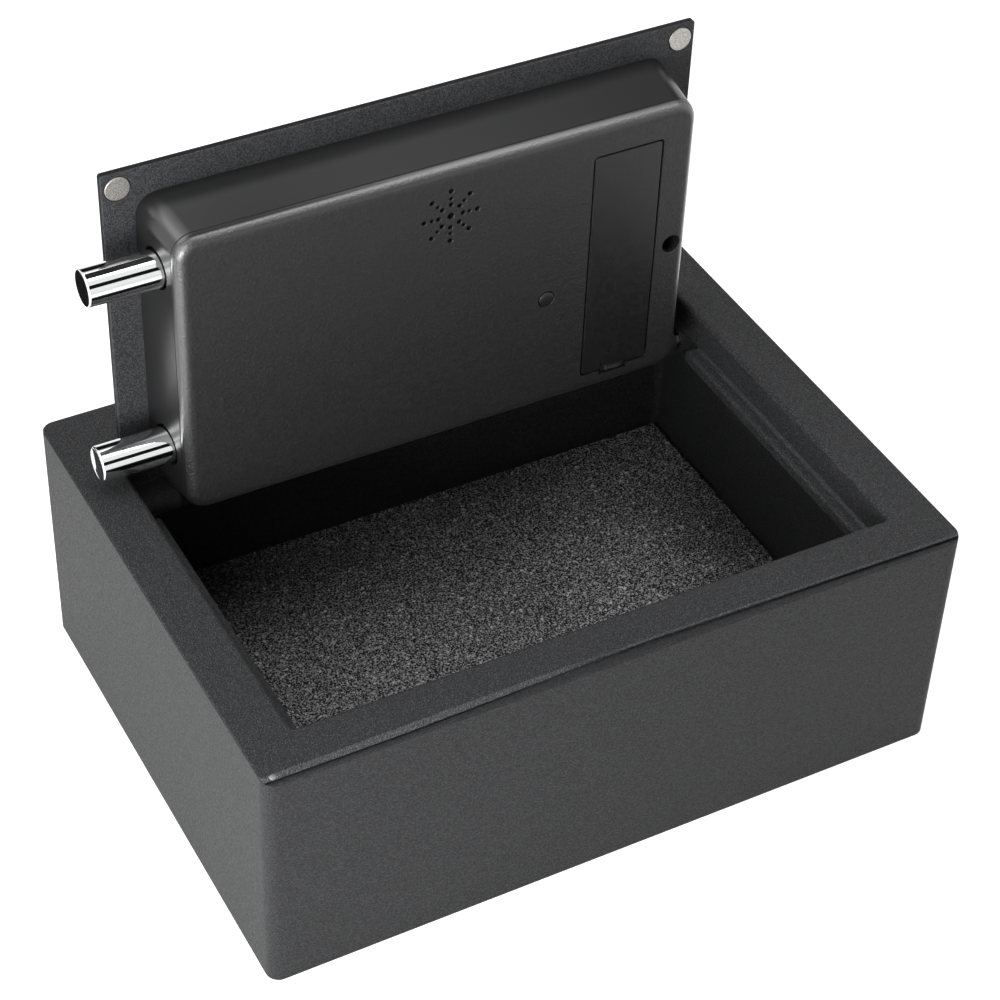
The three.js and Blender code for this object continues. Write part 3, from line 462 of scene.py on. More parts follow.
def makeBoard():
    material, tree, shader, place = newMaterial("boardGreen", Specular_IOR_Level=0.5)
    tracks = addNode(tree, "ShaderNodeTexBrick", Vector=place, Scale=160.0, Mortar_Size=0.03).outputs["Fac"]
    setNode(tree, shader, Base_Color=mixColors(tree, tracks, (0.012, 0.08, 0.035, 1), (0.03, 0.16, 0.07, 1)),
            Roughness=varied(tree, place, 400, 2, 0.3, 0.45))
    return material


materials = {
    "powder": makePowderCoat(),
    # painted shade: a darker copy of the powder for the door plate's side faces
    "edge": makePowderCoat("shadedEdgeCoat", 0.35),
    "door": makePowderCoat("doorCoat", 1.9),
    # The crown's coat is darkened from 126 to 127.2 mm high, painted shade under the rim's sheet
    "crownShaded": makePowderCoat("crownShadedCoat", 1.0, (0.1260, 0.1272)),
    "rim": makePowderCoat("rimCoat", 1.2, coarse=1.7),
    # painted highlight: a paler copy of the powder for the rim's front edge
    "lip": makePowderCoat("lipHighlightCoat", 2.6, coarse=1.6),
    # painted highlight: light grey for the glint on the painted weld dot
    "weld": makeSmoothPlastic("weldGlintPaint", (0.16, 0.16, 0.165, 1), (0.3, 0.3, 0.305, 1), 0.25),
    "cover": makeCoverPlastic(),
    "lid": makeSmoothPlastic("lidPlastic", (0.0105, 0.0107, 0.011, 1), (0.0135, 0.0137, 0.014, 1), 0.44),
    "darkPlastic": makeSmoothPlastic("darkPlastic", (0.01, 0.01, 0.0105, 1), (0.014, 0.014, 0.0145, 1), 0.5),
    "chrome": makeChrome(),
    "nickel": makeNickel(),
    "steel": makePlatedSteel(),
    "brass": makePlatedSteel("brass", (0.62, 0.44, 0.18, 1)),
    "foam": makeFoam(),
    "glitter": makeGlitter(),
    "rubber": makeDrifting("keyRubber", (600, 3, (0.030, 0.031, 0.033, 1), (0.045, 0.046, 0.049, 1)),
                           (300, 2, 0.55, 0.7), (2200, 0.3, 0.00006), Specular_IOR_Level=0.35),
    "ink": makeDrifting("keyInk", (900, 2, (0.62, 0.63, 0.64, 1), (0.74, 0.75, 0.76, 1)), (400, 2, 0.45, 0.6),
                        Specular_IOR_Level=0.4),
    "lens": makeDrifting("smokedLens", (120, 2, (0.010, 0.004, 0.005, 1), (0.018, 0.007, 0.008, 1)),
                         (200, 2, 0.06, 0.13), Specular_IOR_Level=0.6, Coat_Weight=0.5),
    "jacket": makeCellJacket(),
    "board": makeBoard(),
}
print("materials made", len(materials))


# CAD nodes that stay get the finish of their slot
slotFinish = {
    "black_powder_coat": "powder", "glitter_foam": "foam", "bright_chrome": "chrome", "nickel": "nickel",
    "matte_black_plastic": "cover", "dark_plastic": "darkPlastic", "plated_steel": "steel",
    "cell_jacket": "jacket", "brass": "brass", "board_green": "board", "smoked_lens": "lens",
    "key_rubber": "rubber",
}


def dressNodes():
    for part in frame["record"]["subparts"]:
        mesh = nodes[part["node"]].data
        mesh.materials.clear()
        mesh.materials.append(materials[slotFinish[part["material_slot"]]])


dressNodes()


# Node trees. Each takes its sizes as named inputs and ends in real geometry with its finish.

def newTree(name, values, takesMesh=False):
    tree = bpy.data.node_groups.new(name, "GeometryNodeTree")
    kinds = {float: "NodeSocketFloat", int: "NodeSocketInt", tuple: "NodeSocketVector"}
    if takesMesh:
        tree.interface.new_socket("Geometry", in_out="INPUT", socket_type="NodeSocketGeometry")
    for label, value in values.items():
        socket = tree.interface.new_socket(label, in_out="INPUT", socket_type=kinds[type(value)])
        socket.default_value = value
    tree.interface.new_socket("Finish", in_out="INPUT", socket_type="NodeSocketMaterial")
    tree.interface.new_socket("Geometry", in_out="OUTPUT", socket_type="NodeSocketGeometry")
    return tree, addNode(tree, "NodeGroupInput").outputs


def endTree(tree, given, shape):
    real = addNode(tree, "GeometryNodeRealizeInstances", Geometry=shape)
    paint = addNode(tree, "GeometryNodeSetMaterial", Geometry=real.outputs["Geometry"],
                    Material=given["Finish"])
    addNode(tree, "NodeGroupOutput", Geometry=paint.outputs["Geometry"])
    return tree


# Sets a modifier's inputs by their socket identifiers, before the object is first evaluated
def nodesPiece(name, tree, values, carrier=None, sharpAngle=32):
    piece = addObject(name, carrier or bpy.data.meshes.new(name))
    step = piece.modifiers.new("nodes", "NODES")
    step.node_group = tree
    for item in tree.interface.items_tree:
        if item.item_type == "SOCKET" and item.in_out == "INPUT" and item.name in values:
            step[item.identifier] = values[item.name]
    return settle(piece, sharpAngle)


# Box: the wrapped wall, made by a node tree that runs the wall's section round a rounded outline

wallValues = {
    "width": 355, "depth": 262, "height": 118, "sheet": 2, "cornerRadius": 6.5, "cornerSteps": 10,
}


def wallTree():
    tree, given = newTree("wrappedWall", {"Width": 0.355, "Depth": 0.262, "Height": 0.118, "Sheet": 0.002,
                                          "Corner": 0.0065, "Corner Steps": 10})
    # The path is the middle of the sheet, and the section is one sheet thick and a wall high
    half = mathFrom(tree, "MULTIPLY", given["Sheet"], 0.5)
    path = addNode(tree, "GeometryNodeCurvePrimitiveQuadrilateral",
                   Width=mathFrom(tree, "SUBTRACT", given["Width"], given["Sheet"]),
                   Height=mathFrom(tree, "SUBTRACT", given["Depth"], given["Sheet"]))
    fillet = addNode(tree, "GeometryNodeFilletCurve", mode="POLY", Curve=path.outputs["Curve"],
                     Count=given["Corner Steps"], Radius=mathFrom(tree, "SUBTRACT", given["Corner"], half))
    section = addNode(tree, "GeometryNodeCurvePrimitiveQuadrilateral", Width=given["Sheet"],
                      Height=given["Height"])
    sweep = addNode(tree, "GeometryNodeCurveToMesh", Curve=fillet.outputs["Curve"],
                    Profile_Curve=section.outputs["Curve"])
    offset = addNode(tree, "ShaderNodeCombineXYZ", Z=mathFrom(tree, "MULTIPLY", given["Height"], 0.5))
    lift = addNode(tree, "GeometryNodeTransform", Geometry=sweep.outputs["Mesh"],
                   Translation=offset.outputs["Vector"])
    return endTree(tree, given, lift.outputs["Geometry"])


wallNodes = ("wall_front", "wall_back", "wall_left", "wall_right",
             "bend_front_left", "bend_front_right", "bend_back_left", "bend_back_right")

# The two setbacks are stops along the front, each an x with a distance from the face
rimValues = {
    "openingSide": 152.8, "openingFront": -104.6, "openingBack": 104, "top": 129.5, "shelf": 127.8,
    "flatSetback": ((-171, 5.3), (-50, 6.7), (20, 6.0), (171, 2.9)),
    "edgeSetback": ((-171, 3.1), (-110, 3.1), (-50, 4.6), (-20, 5.6), (10, 6.0)),
    "innerBend": 2.6, "sheet": 2, "lipLow": 111.9, "cornerRadius": 2.5, "support": 0.25, "underside": 4.5,
    "frontSteps": 28, "steps": 10, "bendSteps": 10, "highlightFront": -121.5,
}


def level(ring, z):
    return [(x, y, z) for x, y in ring]


# The front run gets points of its own, because the sheet's edge tapers along it
def withFront(ring):
    last = 3 * (rimValues["steps"] + 1)
    (x0, y0), (x1, y1) = ring[last - 1], ring[last]
    count = rimValues["frontSteps"]
    middle = [0.06 + 0.88 * i / count for i in range(count + 1)]
    shares = [0.008, 0.018, 0.03, 0.045] + middle + [0.955, 0.97, 0.982, 0.992]
    run = [(x0 + (x1 - x0) * share, y0 + (y1 - y0) * share) for share in shares]
    return ring[:last] + run + ring[last:]


def boxRing(inset):
    v = wallValues
    x, y = v["width"] / 2 - inset, v["depth"] / 2 - inset
    return withFront(roundedRing(-x, x, -y, y, max(v["cornerRadius"] - inset, 0.2), rimValues["steps"]))


def openingRing(outset):
    r = rimValues
    x = r["openingSide"] + outset
    return withFront(roundedRing(-x, x, r["openingFront"] - outset, r["openingBack"] + outset,
                                 r["cornerRadius"] + outset, r["steps"]))


def between(stops, x):
    for (x0, value0), (x1, value1) in zip(stops, stops[1:]):
        if x <= x1:
            return value0 + (value1 - value0) * max(0.0, (x - x0) / (x1 - x0))
    return stops[-1][1]


# How far the flat top and the sheet's edge stand back from the front face at x
def frontSetback(x):
    flat = between(rimValues["flatSetback"], x)
    return flat, min(flat - 0.1, between(rimValues["edgeSetback"], x))


# One ring round the top edge. Each ring has a tight section for the sides and back, and another for the
# front, given as a setback from the face, the edge or the flat and a height. The front's line runs straight
# to the side, so that the sheet ends square at the corners.
def edgeRing(side, front):
    corner, steps = wallValues["cornerRadius"], rimValues["steps"]
    end, face = wallValues["width"] / 2 - corner, -wallValues["depth"] / 2
    outline, ring = boxRing(0), []
    first, straight = 3 * (steps + 1), len(outline) - 4 * (steps + 1)
    for index, (x, y) in enumerate(outline):
        if first <= index < first + straight:
            nx, ny = 0.0, -1.0
        else:
            quarter, step = divmod(index if index < first else index - straight, steps + 1)
            angle = (quarter + step / steps) * math.pi / 2
            nx, ny = math.cos(angle), math.sin(angle)
        flat, edge = frontSetback(max(-end, min(end, x)))
        which, shift, height = front
        back = {"flat": flat, "edge": edge, "face": 0, "middle": (flat + edge) / 2}[which] + shift
        share = max(0.0, min(1.0, -ny / 0.6))
        if y < 0:
            y = max(y - ny * side[0], face + back)
        else:
            y -= ny * side[0]
        ring.append((x - nx * side[0], y, side[1] + (height - side[1]) * share))
    return ring


# The wall's upper band: a soft shelf that runs in under the rim's sheet
def wallCrown():
    v, r = wallValues, rimValues
    top, shelf = r["top"], r["shelf"]
    rings = [level(boxRing(0), v["height"])]
    rings += [edgeRing(side, front) for side, front in (
        ((0, top - 1.1), ("face", 0, shelf - 1.1)), ((0, top - 0.8), ("face", 0, shelf - 0.8)),
        ((0.04, top - 0.68), ("face", 0.12, shelf - 0.42)), ((0.1, top - 0.6), ("face", 0.42, shelf - 0.12)),
        ((0.16, top - 0.56), ("face", 0.85, shelf)), ((0.2, top - 0.54), ("face", 1.2, shelf)),
        ((0.3, top - 0.52), ("edge", -0.5, shelf - 0.25)), ((1.0, top - 0.9), ("edge", 1.2, shelf - 0.7)),
        ((1.6, top - 1.4), ("edge", 1.4, shelf - 2)))]
    rings += [level(boxRing(v["sheet"]), top - 6), level(boxRing(v["sheet"]), v["height"])]
    return loftRings("wallCrown", rings, materials["crownShaded"], loop=True)


def mergeInto(piece, *others):
    form = bmesh.new()
    form.from_mesh(piece.data)
    for other in others:
        form.from_mesh(other.data)
        bpy.data.objects.remove(other)
    form.to_mesh(piece.data)
    form.free()


def makeWalls():
    v = wallValues
    walls = nodesPiece("boxWalls", wallTree(), {
        "Width": v["width"] / 1000, "Depth": v["depth"] / 1000, "Height": v["height"] / 1000,
        "Sheet": v["sheet"] / 1000, "Corner": v["cornerRadius"] / 1000, "Corner Steps": v["cornerSteps"],
        "Finish": materials["powder"]})
    mergeInto(walls, wallCrown())
    finishPiece(walls, "box", "black_powder_coat", *wallNodes)


def makeRim():
    r = rimValues
    top, shelf, low, bend, sheet = r["top"], r["shelf"], r["lipLow"], r["innerBend"], r["sheet"]
    rings = [edgeRing(side, front) for side, front in (
        ((1.4, top - 0.75), ("edge", 1.4, shelf - 0.1)), ((0.4, top - 0.46), ("edge", 0.15, shelf + 0.05)),
        ((0.26, top - 0.42), ("edge", 0, shelf + 0.25)), ((0.3, top - 0.3), ("edge", 0.05, shelf + 0.75)),
        ((0.45, top - 0.14), ("middle", -0.15, shelf + 1.25)),
        ((0.65, top - 0.04), ("flat", -0.6, top - 0.17)), ((0.75, top - 0.02), ("flat", -0.3, top + 0.1)),
        ((0.85, top), ("flat", 0, top + 0.02)), ((1.1, top), ("flat", 0.35, top)),
        ((1.6, top), ("flat", 0.9, top)))]
    rings.append(level(openingRing(bend + r["support"]), top))
    for x, z in arcPoints(bend, top - bend, bend, math.pi / 2, math.pi, r["bendSteps"]):
        rings.append(level(openingRing(x), z))
    rings += [level(openingRing(0), top - bend - r["support"]), level(openingRing(0), low + 0.2),
              level(openingRing(0.2), low), level(openingRing(sheet), low)]
    for x, z in arcPoints(bend, top - bend, bend - sheet, math.pi, math.pi / 2, 4):
        rings.append(level(openingRing(x), z))
    rings.append(level(boxRing(r["underside"]), top - sheet))
    rim = loftRings("topRim", rings, materials["rim"], loop=True)
    # The sheet's rounded front edge gets a paler copy of the coat, a painted highlight where that
    # front-facing edge catches the light
    rim.data.materials.append(materials["lip"])
    for face in rim.data.polygons:
        x, y, z = face.center
        if face.normal.z < 0.999 and y < r["highlightFront"] / 1000 and z > (shelf + 0.1) / 1000:
            face.material_index = 1
    finishPiece(rim, "box", "black_powder_coat", "top_frame")


# Seat strips below the lip, with the bead that seals the right one to the lip

ledgeValues = {
    "leftWidth": 9.2, "width": 7.2, "sheet": 2, "flange": 6, "bend": 1.6, "backEnd": 63, "top": 111.5,
    "bead": 1.7, "beadSteps": 60,
}


def ledgeSection(width):
    v = ledgeValues
    reach, bend = width + rimValues["sheet"], v["bend"]
    top, low, s = v["top"], v["top"] - v["flange"], v["sheet"]
    outer = arcPoints(bend, top - bend, bend, math.pi / 2, math.pi, 6)
    return [(reach, top - s), (reach, top), (bend + 0.3, top)] + outer + [
        (0, top - bend - 0.3), (0, low + 0.3), (0.3, low), (s - 0.3, low), (s, low + 0.3), (s, top - s)]


def makeSideLedge(name, side, width, node):
    inner = rimValues["openingSide"] - width
    front, back = rimValues["openingFront"] - rimValues["sheet"], ledgeValues["backEnd"]
    section = ledgeSection(width)
    rings = [[(side * (inner + u), y, z) for u, z in section] for y in (front, back)]
    finishPiece(loftRings(name, rings, materials["rim"]), "box", "black_powder_coat", node)


def makeFrontLedge():
    v, side = ledgeValues, rimValues["openingSide"]
    inner = rimValues["openingFront"] + v["width"]
    section = ledgeSection(v["width"])
    ends = (v["leftWidth"] + 0.3 - side, side - v["width"] - 0.3)
    rings = [[(x, inner - u, z) for u, z in section] for x in ends]
    ledge = loftRings("frontSeat", rings, materials["rim"])
    finishPiece(ledge, "box", "black_powder_coat", "front_ledge")


# A concave bead where strip and lip meet, slightly uneven like laid sealant under the paint
def makeBead(name, start, end, inward):
    size, steps = ledgeValues["bead"], ledgeValues["beadSteps"]
    wobble = random.Random(11)
    rings = []
    for i in range(steps + 1):
        x, y = (start[k] + (end[k] - start[k]) * i / steps for k in (0, 1))
        reach = size * (1 + 0.18 * (wobble.random() - 0.5))
        curve = arcPoints(reach, reach, reach, math.pi, math.pi * 1.5, 5)
        section = [(-0.2, -0.2), (-0.2, reach)] + curve + [(reach, -0.2)]
        rings.append([(x + inward[0] * u, y + inward[1] * u, ledgeValues["top"] + z) for u, z in section])
    # The bead takes the door's paler coat, a painted highlight for the bright line along the joint
    finishPiece(loftRings(name, rings, materials["door"], sharpAngle=50), "box", "black_powder_coat")


weldValues = {
    "x": -171.8, "y": -126.4, "z": 128.6, "halfX": 2.0, "halfY": 1.5, "rise": 1.2, "levels": 8, "sides": 20,
}


# A small blob of weld and paint that closes the sheet's corner; its light grey glossy paint is a painted
# highlight for the blob's glint
def makeWeldDot():
    v = weldValues
    wobble = random.Random(3)
    rings = []
    for i in range(v["levels"] + 1):
        rise = -0.6 + 1.6 * i / v["levels"]
        size = math.sqrt(max(0.02, 1 - rise * rise))
        ring = []
        for k in range(v["sides"]):
            angle = 2 * math.pi * k / v["sides"]
            grow = size * (1 + 0.06 * (wobble.random() - 0.5))
            ring.append((v["x"] + v["halfX"] * grow * math.cos(angle),
                         v["y"] + v["halfY"] * grow * math.sin(angle), v["z"] + v["rise"] * rise))
        rings.append(ring)
    dot = loftRings("weldDot", rings, materials["weld"], sharpAngle=70)
    finishPiece(dot, "box", "black_powder_coat")


def makeBox():
    makeWalls()
    makeRim()
    makeWeldDot()
    makeSideLedge("leftSeat", -1, ledgeValues["leftWidth"], "left_ledge")
    makeSideLedge("rightSeat", 1, ledgeValues["width"], "right_ledge")
    makeFrontLedge()
    side, front, back = rimValues["openingSide"], rimValues["openingFront"] + 2, ledgeValues["backEnd"] - 1
    makeBead("rightBead", (side, front), (side, back), (-1, 0))


makeBox()
print("box made")


# Foam mat, and the glitter that a node tree scatters over it

matValues = {
    "reachX": 172.5, "reachY": 126, "low": 2.3, "high": 9.0, "edge": 1.6, "columns": 170, "rows": 124,
    "dip": 0.25, "swell": 0.2, "flecks": 46000, "fleckRadius": 0.27, "glitterInset": 1.5, "seed": 5,
}


def makeMat():
    v = matValues
    x, y, e = v["reachX"], v["reachY"], v["edge"]
    bump = random.Random(v["seed"])
    waves = [(bump.uniform(0.01, 0.05), bump.uniform(0.01, 0.05), bump.uniform(0, 6.3)) for _ in range(6)]

    def topHeight(px, py):
        edge = min(x - abs(px), y - abs(py), e)
        fall = e - math.sqrt(max(0, e * e - (e - edge) ** 2))
        swell = sum(math.sin(a * px + b * py + c) for a, b, c in waves) / len(waves)
        return v["high"] - v["dip"] - fall + v["swell"] * swell

    # Even stops across the mat, with closer ones at its rounded edge
    def stopsAcross(reach, count):
        middle = [(-reach + 2) + (2 * reach - 4) * i / count for i in range(count + 1)]
        return [-reach, -reach + 0.5, -reach + 1] + middle + [reach - 1, reach - 0.5, reach]

    xs, ys = stopsAcross(x, v["columns"]), stopsAcross(y, v["rows"])
    points = [(px, py, topHeight(px, py)) for py in ys for px in xs]
    nx, ny = len(xs), len(ys)
    faces = [(j * nx + i, j * nx + i + 1, (j + 1) * nx + i + 1, (j + 1) * nx + i)
             for j in range(ny - 1) for i in range(nx - 1)]
    border = (list(range(nx)) + [j * nx + nx - 1 for j in range(1, ny)]
              + [(ny - 1) * nx + i for i in range(nx - 2, -1, -1)] + [j * nx for j in range(ny - 2, 0, -1)])
    base = len(points)
    points += [(points[i][0], points[i][1], v["low"]) for i in border]
    for k, i in enumerate(border):
        n = (k + 1) % len(border)
        faces.append((border[n], i, base + k, base + n))
    faces.append(tuple(base + k for k in reversed(range(len(border)))))
    mat = addMesh("foamMat", points, faces, materials["foam"], 50)
    finishPiece(mat, "box", "glitter_foam", "foam_mat")


def glitterTree():
    tree, given = newTree("matGlitter", {"Density": 100000.0, "Fleck Radius": 0.0003, "Seed": 5},
                          takesMesh=True)
    spread = addNode(tree, "GeometryNodeDistributePointsOnFaces", Mesh=given["Geometry"],
                     Density=given["Density"], Seed=given["Seed"])
    fleck = addNode(tree, "GeometryNodeMeshCircle", fill_type="NGON", Vertices=4,
                    Radius=given["Fleck Radius"])
    tilt = addNode(tree, "FunctionNodeRandomValue", data_type="FLOAT_VECTOR", Min=(-0.75, -0.75, -3.1),
                   Max=(0.75, 0.75, 3.1), Seed=given["Seed"])
    size = addNode(tree, "FunctionNodeRandomValue", data_type="FLOAT", Seed=given["Seed"])
    size.inputs[2].default_value = 0.45  # the smallest fleck's share of the radius
    size.inputs[3].default_value = 1.0
    place = addNode(tree, "GeometryNodeInstanceOnPoints", Points=spread.outputs["Points"],
                    Instance=fleck.outputs["Mesh"], Rotation=tilt.outputs[0], Scale=size.outputs[1])
    return endTree(tree, given, place.outputs["Instances"])


def makeGlitterPiece():
    v = matValues
    x, y, z = v["reachX"] - v["glitterInset"], v["reachY"] - v["glitterInset"], v["high"] - 0.2
    glitter = nodesPiece("matGlitter", glitterTree(), {
        "Density": v["flecks"] / (4 * x * y / 1e6), "Fleck Radius": v["fleckRadius"] / 1000,
        "Seed": v["seed"], "Finish": materials["glitter"]},
        planeMesh("glitterCarrier", x / 1000, y / 1000, z / 1000), sharpAngle=None)
    finishPiece(glitter, "box", "glitter_foam")


makeMat()
makeGlitterPiece()
print("mat made")


# Door plate with its magnets

plateValues = {
    "half": 151.2, "low": -16.1, "high": 185.5, "inner": -8.5, "thickness": 4, "cornerRadius": 1.5,
    "edgeRound": 0.7, "magnetX": 143.4, "magnetV": 177.4, "magnetRadius": 6, "magnetProud": 0.4,
    "magnetGap": 0.35, "lockV": 57.2, "lockHole": 9.3, "sawnDepth": 2,
}
softTurns = (0, 0.4, 0.8, 1.2, math.pi / 2)  # the steps of a small rounded edge, as angles


def plateRing(inset):
    v = plateValues
    return roundedRing(inset - v["half"], v["half"] - inset, v["low"] + inset, v["high"] - inset,
                       v["cornerRadius"] - inset, 8)


def makePlate():
    v = plateValues
    e, inner, radius = v["edgeRound"], v["inner"], v["magnetRadius"]
    outer = inner - v["thickness"]
    sections = [(plateRing(e + 0.2), outer)]
    sections += [(plateRing(e - e * math.sin(a)), outer + e - e * math.cos(a)) for a in softTurns]
    sections += [(plateRing(e - e * math.sin(a)), inner - e + e * math.cos(a)) for a in reversed(softTurns)]
    sections.append((plateRing(e + 0.2), inner))
    plate = doorLoft("doorPlate", sections, materials["door"])
    socket, groove = radius + v["magnetGap"], radius + v["magnetGap"] + 0.4
    profile = [(0, 2), (socket, 2), (socket, -0.3), (groove, -0.7), (0, -0.7)]
    tools = [turnProfile("socketTool", profile, onDoor(side * v["magnetX"], v["magnetV"], inner), "y")
             for side in (-1, 1)]
    tools.append(rod("lockTool", v["lockHole"], -2, 6, onDoor(0, v["lockV"], inner), "y"))
    boolean(plate, tools)
    # The sawn sides get a darker copy of the coat than the flat faces and the rounded arris, painted shade on
    # faces the lamps light
    plate.data.materials.append(materials["edge"])
    reachX = (v["half"] - v["sawnDepth"]) / 1000
    middle, reachZ = (v["low"] + v["high"]) / 2, (v["high"] - v["low"]) / 2000 - v["sawnDepth"] / 1000
    for face in plate.data.polygons:
        x, y, z = face.center
        atEnd = abs(x) > reachX or abs(z - (hingeLine["z"] + middle) / 1000) > reachZ
        if abs(face.normal.y) < 0.05 and atEnd:
            face.material_index = 1
    finishPiece(plate, "door", "black_powder_coat", "door_plate")
    proud = v["magnetProud"]
    profile = [(0, 1.7), (radius, 1.7), (radius, -proud + 0.3), (radius - 0.1, -proud + 0.12),
               (radius - 0.35, -proud), (radius - 0.6, -proud), (0, -proud)]
    for side, name, node in ((-1, "leftMagnet", "magnet_left"), (1, "rightMagnet", "magnet_right")):
        place = onDoor(side * v["magnetX"], v["magnetV"], inner)
        disc = turnProfile(name, profile, place, "y", 64, materials["nickel"], 50)
        finishPiece(disc, "door", "nickel", node)


# Moulded cover: a drawn shell with soft edges, cut through for the bolts, speaker, lid, button and screw

coverValues = {
    "half": 136, "near": 8.8, "far": 171.3, "base": -8.5, "depth": 37.8, "draft": 3.6, "cornerRadius": 11,
    "edgeFillet": 5.5, "partingWidth": 0.5, "partingDepth": 0.35, "wall": 2.5, "boltHole": 10.3, "boltW": 8.8,
    "boltLow": 41.5, "boltHigh": 143.2,
}
coverFront = coverValues["base"] + coverValues["depth"]
coverInside = coverFront - coverValues["wall"]


def coverRing(height, inset, rounding):
    v = coverValues
    shift = v["draft"] * height / v["depth"] + inset
    return roundedRing(shift - v["half"], v["half"] - shift, v["near"] + shift, v["far"] - shift,
                       v["cornerRadius"] - rounding, 14)


def coverSide(inset, low, top, fillet):
    v = coverValues
    sections = [(coverRing(low - v["base"], inset, inset), low)]
    if not inset:
        # A fine parting groove runs round below the rounded edge
        start, wide, deep = top - fillet - v["partingWidth"] - 0.25, v["partingWidth"], v["partingDepth"]
        for w, sunk in ((start, 0), (start + 0.12, deep), (start + wide, deep), (start + wide + 0.12, 0)):
            sections.append((coverRing(w - v["base"], sunk, sunk), w))
    for x, w in arcPoints(0, top - fillet, fillet, 0, math.pi / 2, 10):
        drawn = fillet - x
        sections.append((coverRing(w - v["base"], inset + drawn, inset + drawn), w))
    shelf = fillet + 0.4
    sections.append((coverRing(top - v["base"], inset + shelf, inset + shelf), top))
    return sections


speakerValues = {
    "x": 2.3, "v": 142.3, "arms": 8, "centreHole": 1.7, "deep": 8, "bevel": 0.32,
    "rings": ((6.3, 1.2), (9.6, 0.95), (13.7, 1.25)),
}


# Speaker star: a node tree sets holes out along equal arms
def starTree():
    tree, given = newTree("speakerStar", {"Ring Radius": 0.01, "Hole Radius": 0.001, "Mouth Radius": 0.001,
                                          "Depth": 0.008, "Arms": 8, "Centre": (0.0, 0.0, 0.0)})
    ring = addNode(tree, "GeometryNodeMeshCircle", Vertices=given["Arms"], Radius=given["Ring Radius"])
    hole = addNode(tree, "GeometryNodeMeshCone", Vertices=20, Radius_Bottom=given["Hole Radius"],
                   Radius_Top=given["Mouth Radius"], Depth=given["Depth"])
    place = addNode(tree, "GeometryNodeInstanceOnPoints", Points=ring.outputs["Mesh"],
                    Instance=hole.outputs["Mesh"])
    turn = addNode(tree, "GeometryNodeTransform", Geometry=place.outputs["Instances"],
                   Rotation=(math.pi / 2, 0, 0), Translation=given["Centre"])
    return endTree(tree, given, turn.outputs["Geometry"])


# Each ring of holes takes a deep tool and a short wide one that bevels its mouth
def speakerTools():
    v = speakerValues
    hole, bevel = v["centreHole"], v["bevel"]
    tree = starTree()
    x, y, z = onDoor(v["x"], v["v"], coverFront)
    tools = []
    for reach, radius in v["rings"]:
        cuts = ((radius, v["deep"], v["deep"] - 2), (radius + 2 * bevel, 2 * bevel, bevel))
        for mouth, depth, sunk in cuts:
            tools.append(nodesPiece("starTool", tree, {
                "Ring Radius": reach / 1000, "Hole Radius": radius / 1000, "Mouth Radius": mouth / 1000,
                "Depth": depth / 1000, "Arms": v["arms"], "Centre": (x / 1000, (y + sunk) / 1000, z / 1000),
                "Finish": materials["cover"]}))
    profile = [(0, -1), (hole + bevel, -1), (hole + bevel, 0), (hole, bevel), (hole, 4), (0, 4)]
    tools.append(turnProfile("centreTool", profile, (x, y, z), "y", 28))
    return tools


lidValues = {
    "left": 77.9, "right": 113.8, "near": 23.7, "far": 151.3, "thickness": 2.2, "gap": 1.0, "soft": 0.35,
    "cornerRadius": 1.2, "tongueHalf": 7, "tongueLength": 2.8, "tongueRoot": 2, "raise": -0.9, "markV": 34,
    "clipHalf": 4.6,
}
buttonValues = {"x": 55.2, "v": 77.7, "radius": 4, "gap": 0.35, "dome": 1.0}
screwValues = {"x": 123.8, "v": 88.7, "radius": 4.9, "depth": 24, "boss": 6.9}


def doorBlock(name, left, right, near, far, low, high):
    ring = [(left, near), (right, near), (right, far), (left, far)]
    return doorLoft(name, [(ring, low), (ring, high)])


def lidRing(outset):
    v = lidValues
    return roundedRing(v["left"] - outset, v["right"] + outset, v["near"] - outset, v["far"] + outset,
                       v["cornerRadius"] + outset)


def makeCover():
    v, l, b = coverValues, lidValues, screwValues
    outer = coverSide(0, v["base"], coverFront, v["edgeFillet"])
    inner = coverSide(v["wall"], v["base"], coverInside, v["edgeFillet"] - v["wall"])
    cover = loftRings("doorCover", doorRings(outer)[::-1] + doorRings(inner), materials["cover"])

    place = onDoor(b["x"], b["v"], coverFront)
    boolean(cover, [rod("bossTool", b["boss"], 1.2, v["depth"] - 0.3, place, "y", 40)], "UNION")
    mouth = b["radius"] + 0.25
    well = turnProfile("wellTool", [(0, -2), (mouth, -2), (mouth, 0), (b["radius"], 0.3),
                                    (b["radius"], b["depth"]), (0, b["depth"])], place, "y", 48)
    tools = [well] + speakerTools()
    for height in (v["boltLow"], v["boltHigh"]):
        entry = onDoor(-v["half"] + 4, height, v["boltW"])
        tools.append(rod("boltTool", v["boltHole"], -8, 6, entry, "x", 72))
    low, high = coverInside - 2, coverFront + 2
    tools.append(doorLoft("lidTool", [(lidRing(l["gap"]), low), (lidRing(l["gap"]), high)]))
    middle = (l["left"] + l["right"]) / 2
    half = l["tongueHalf"] + l["gap"]
    tools.append(doorBlock("tongueTool", middle - half, middle + half,
                           l["near"] - l["tongueLength"] - l["gap"], l["near"] + l["tongueRoot"], low, high))
    reach = buttonValues["radius"] + buttonValues["gap"]
    tools.append(turnProfile(
        "buttonTool", [(0, -2), (reach + 0.3, -2), (reach + 0.3, 0), (reach, 0.35), (reach, 6), (0, 6)],
        onDoor(buttonValues["x"], buttonValues["v"], coverFront), "y", 48))
    boolean(cover, tools)
    finishPiece(cover, "door", "matte_black_plastic", "door_cover")


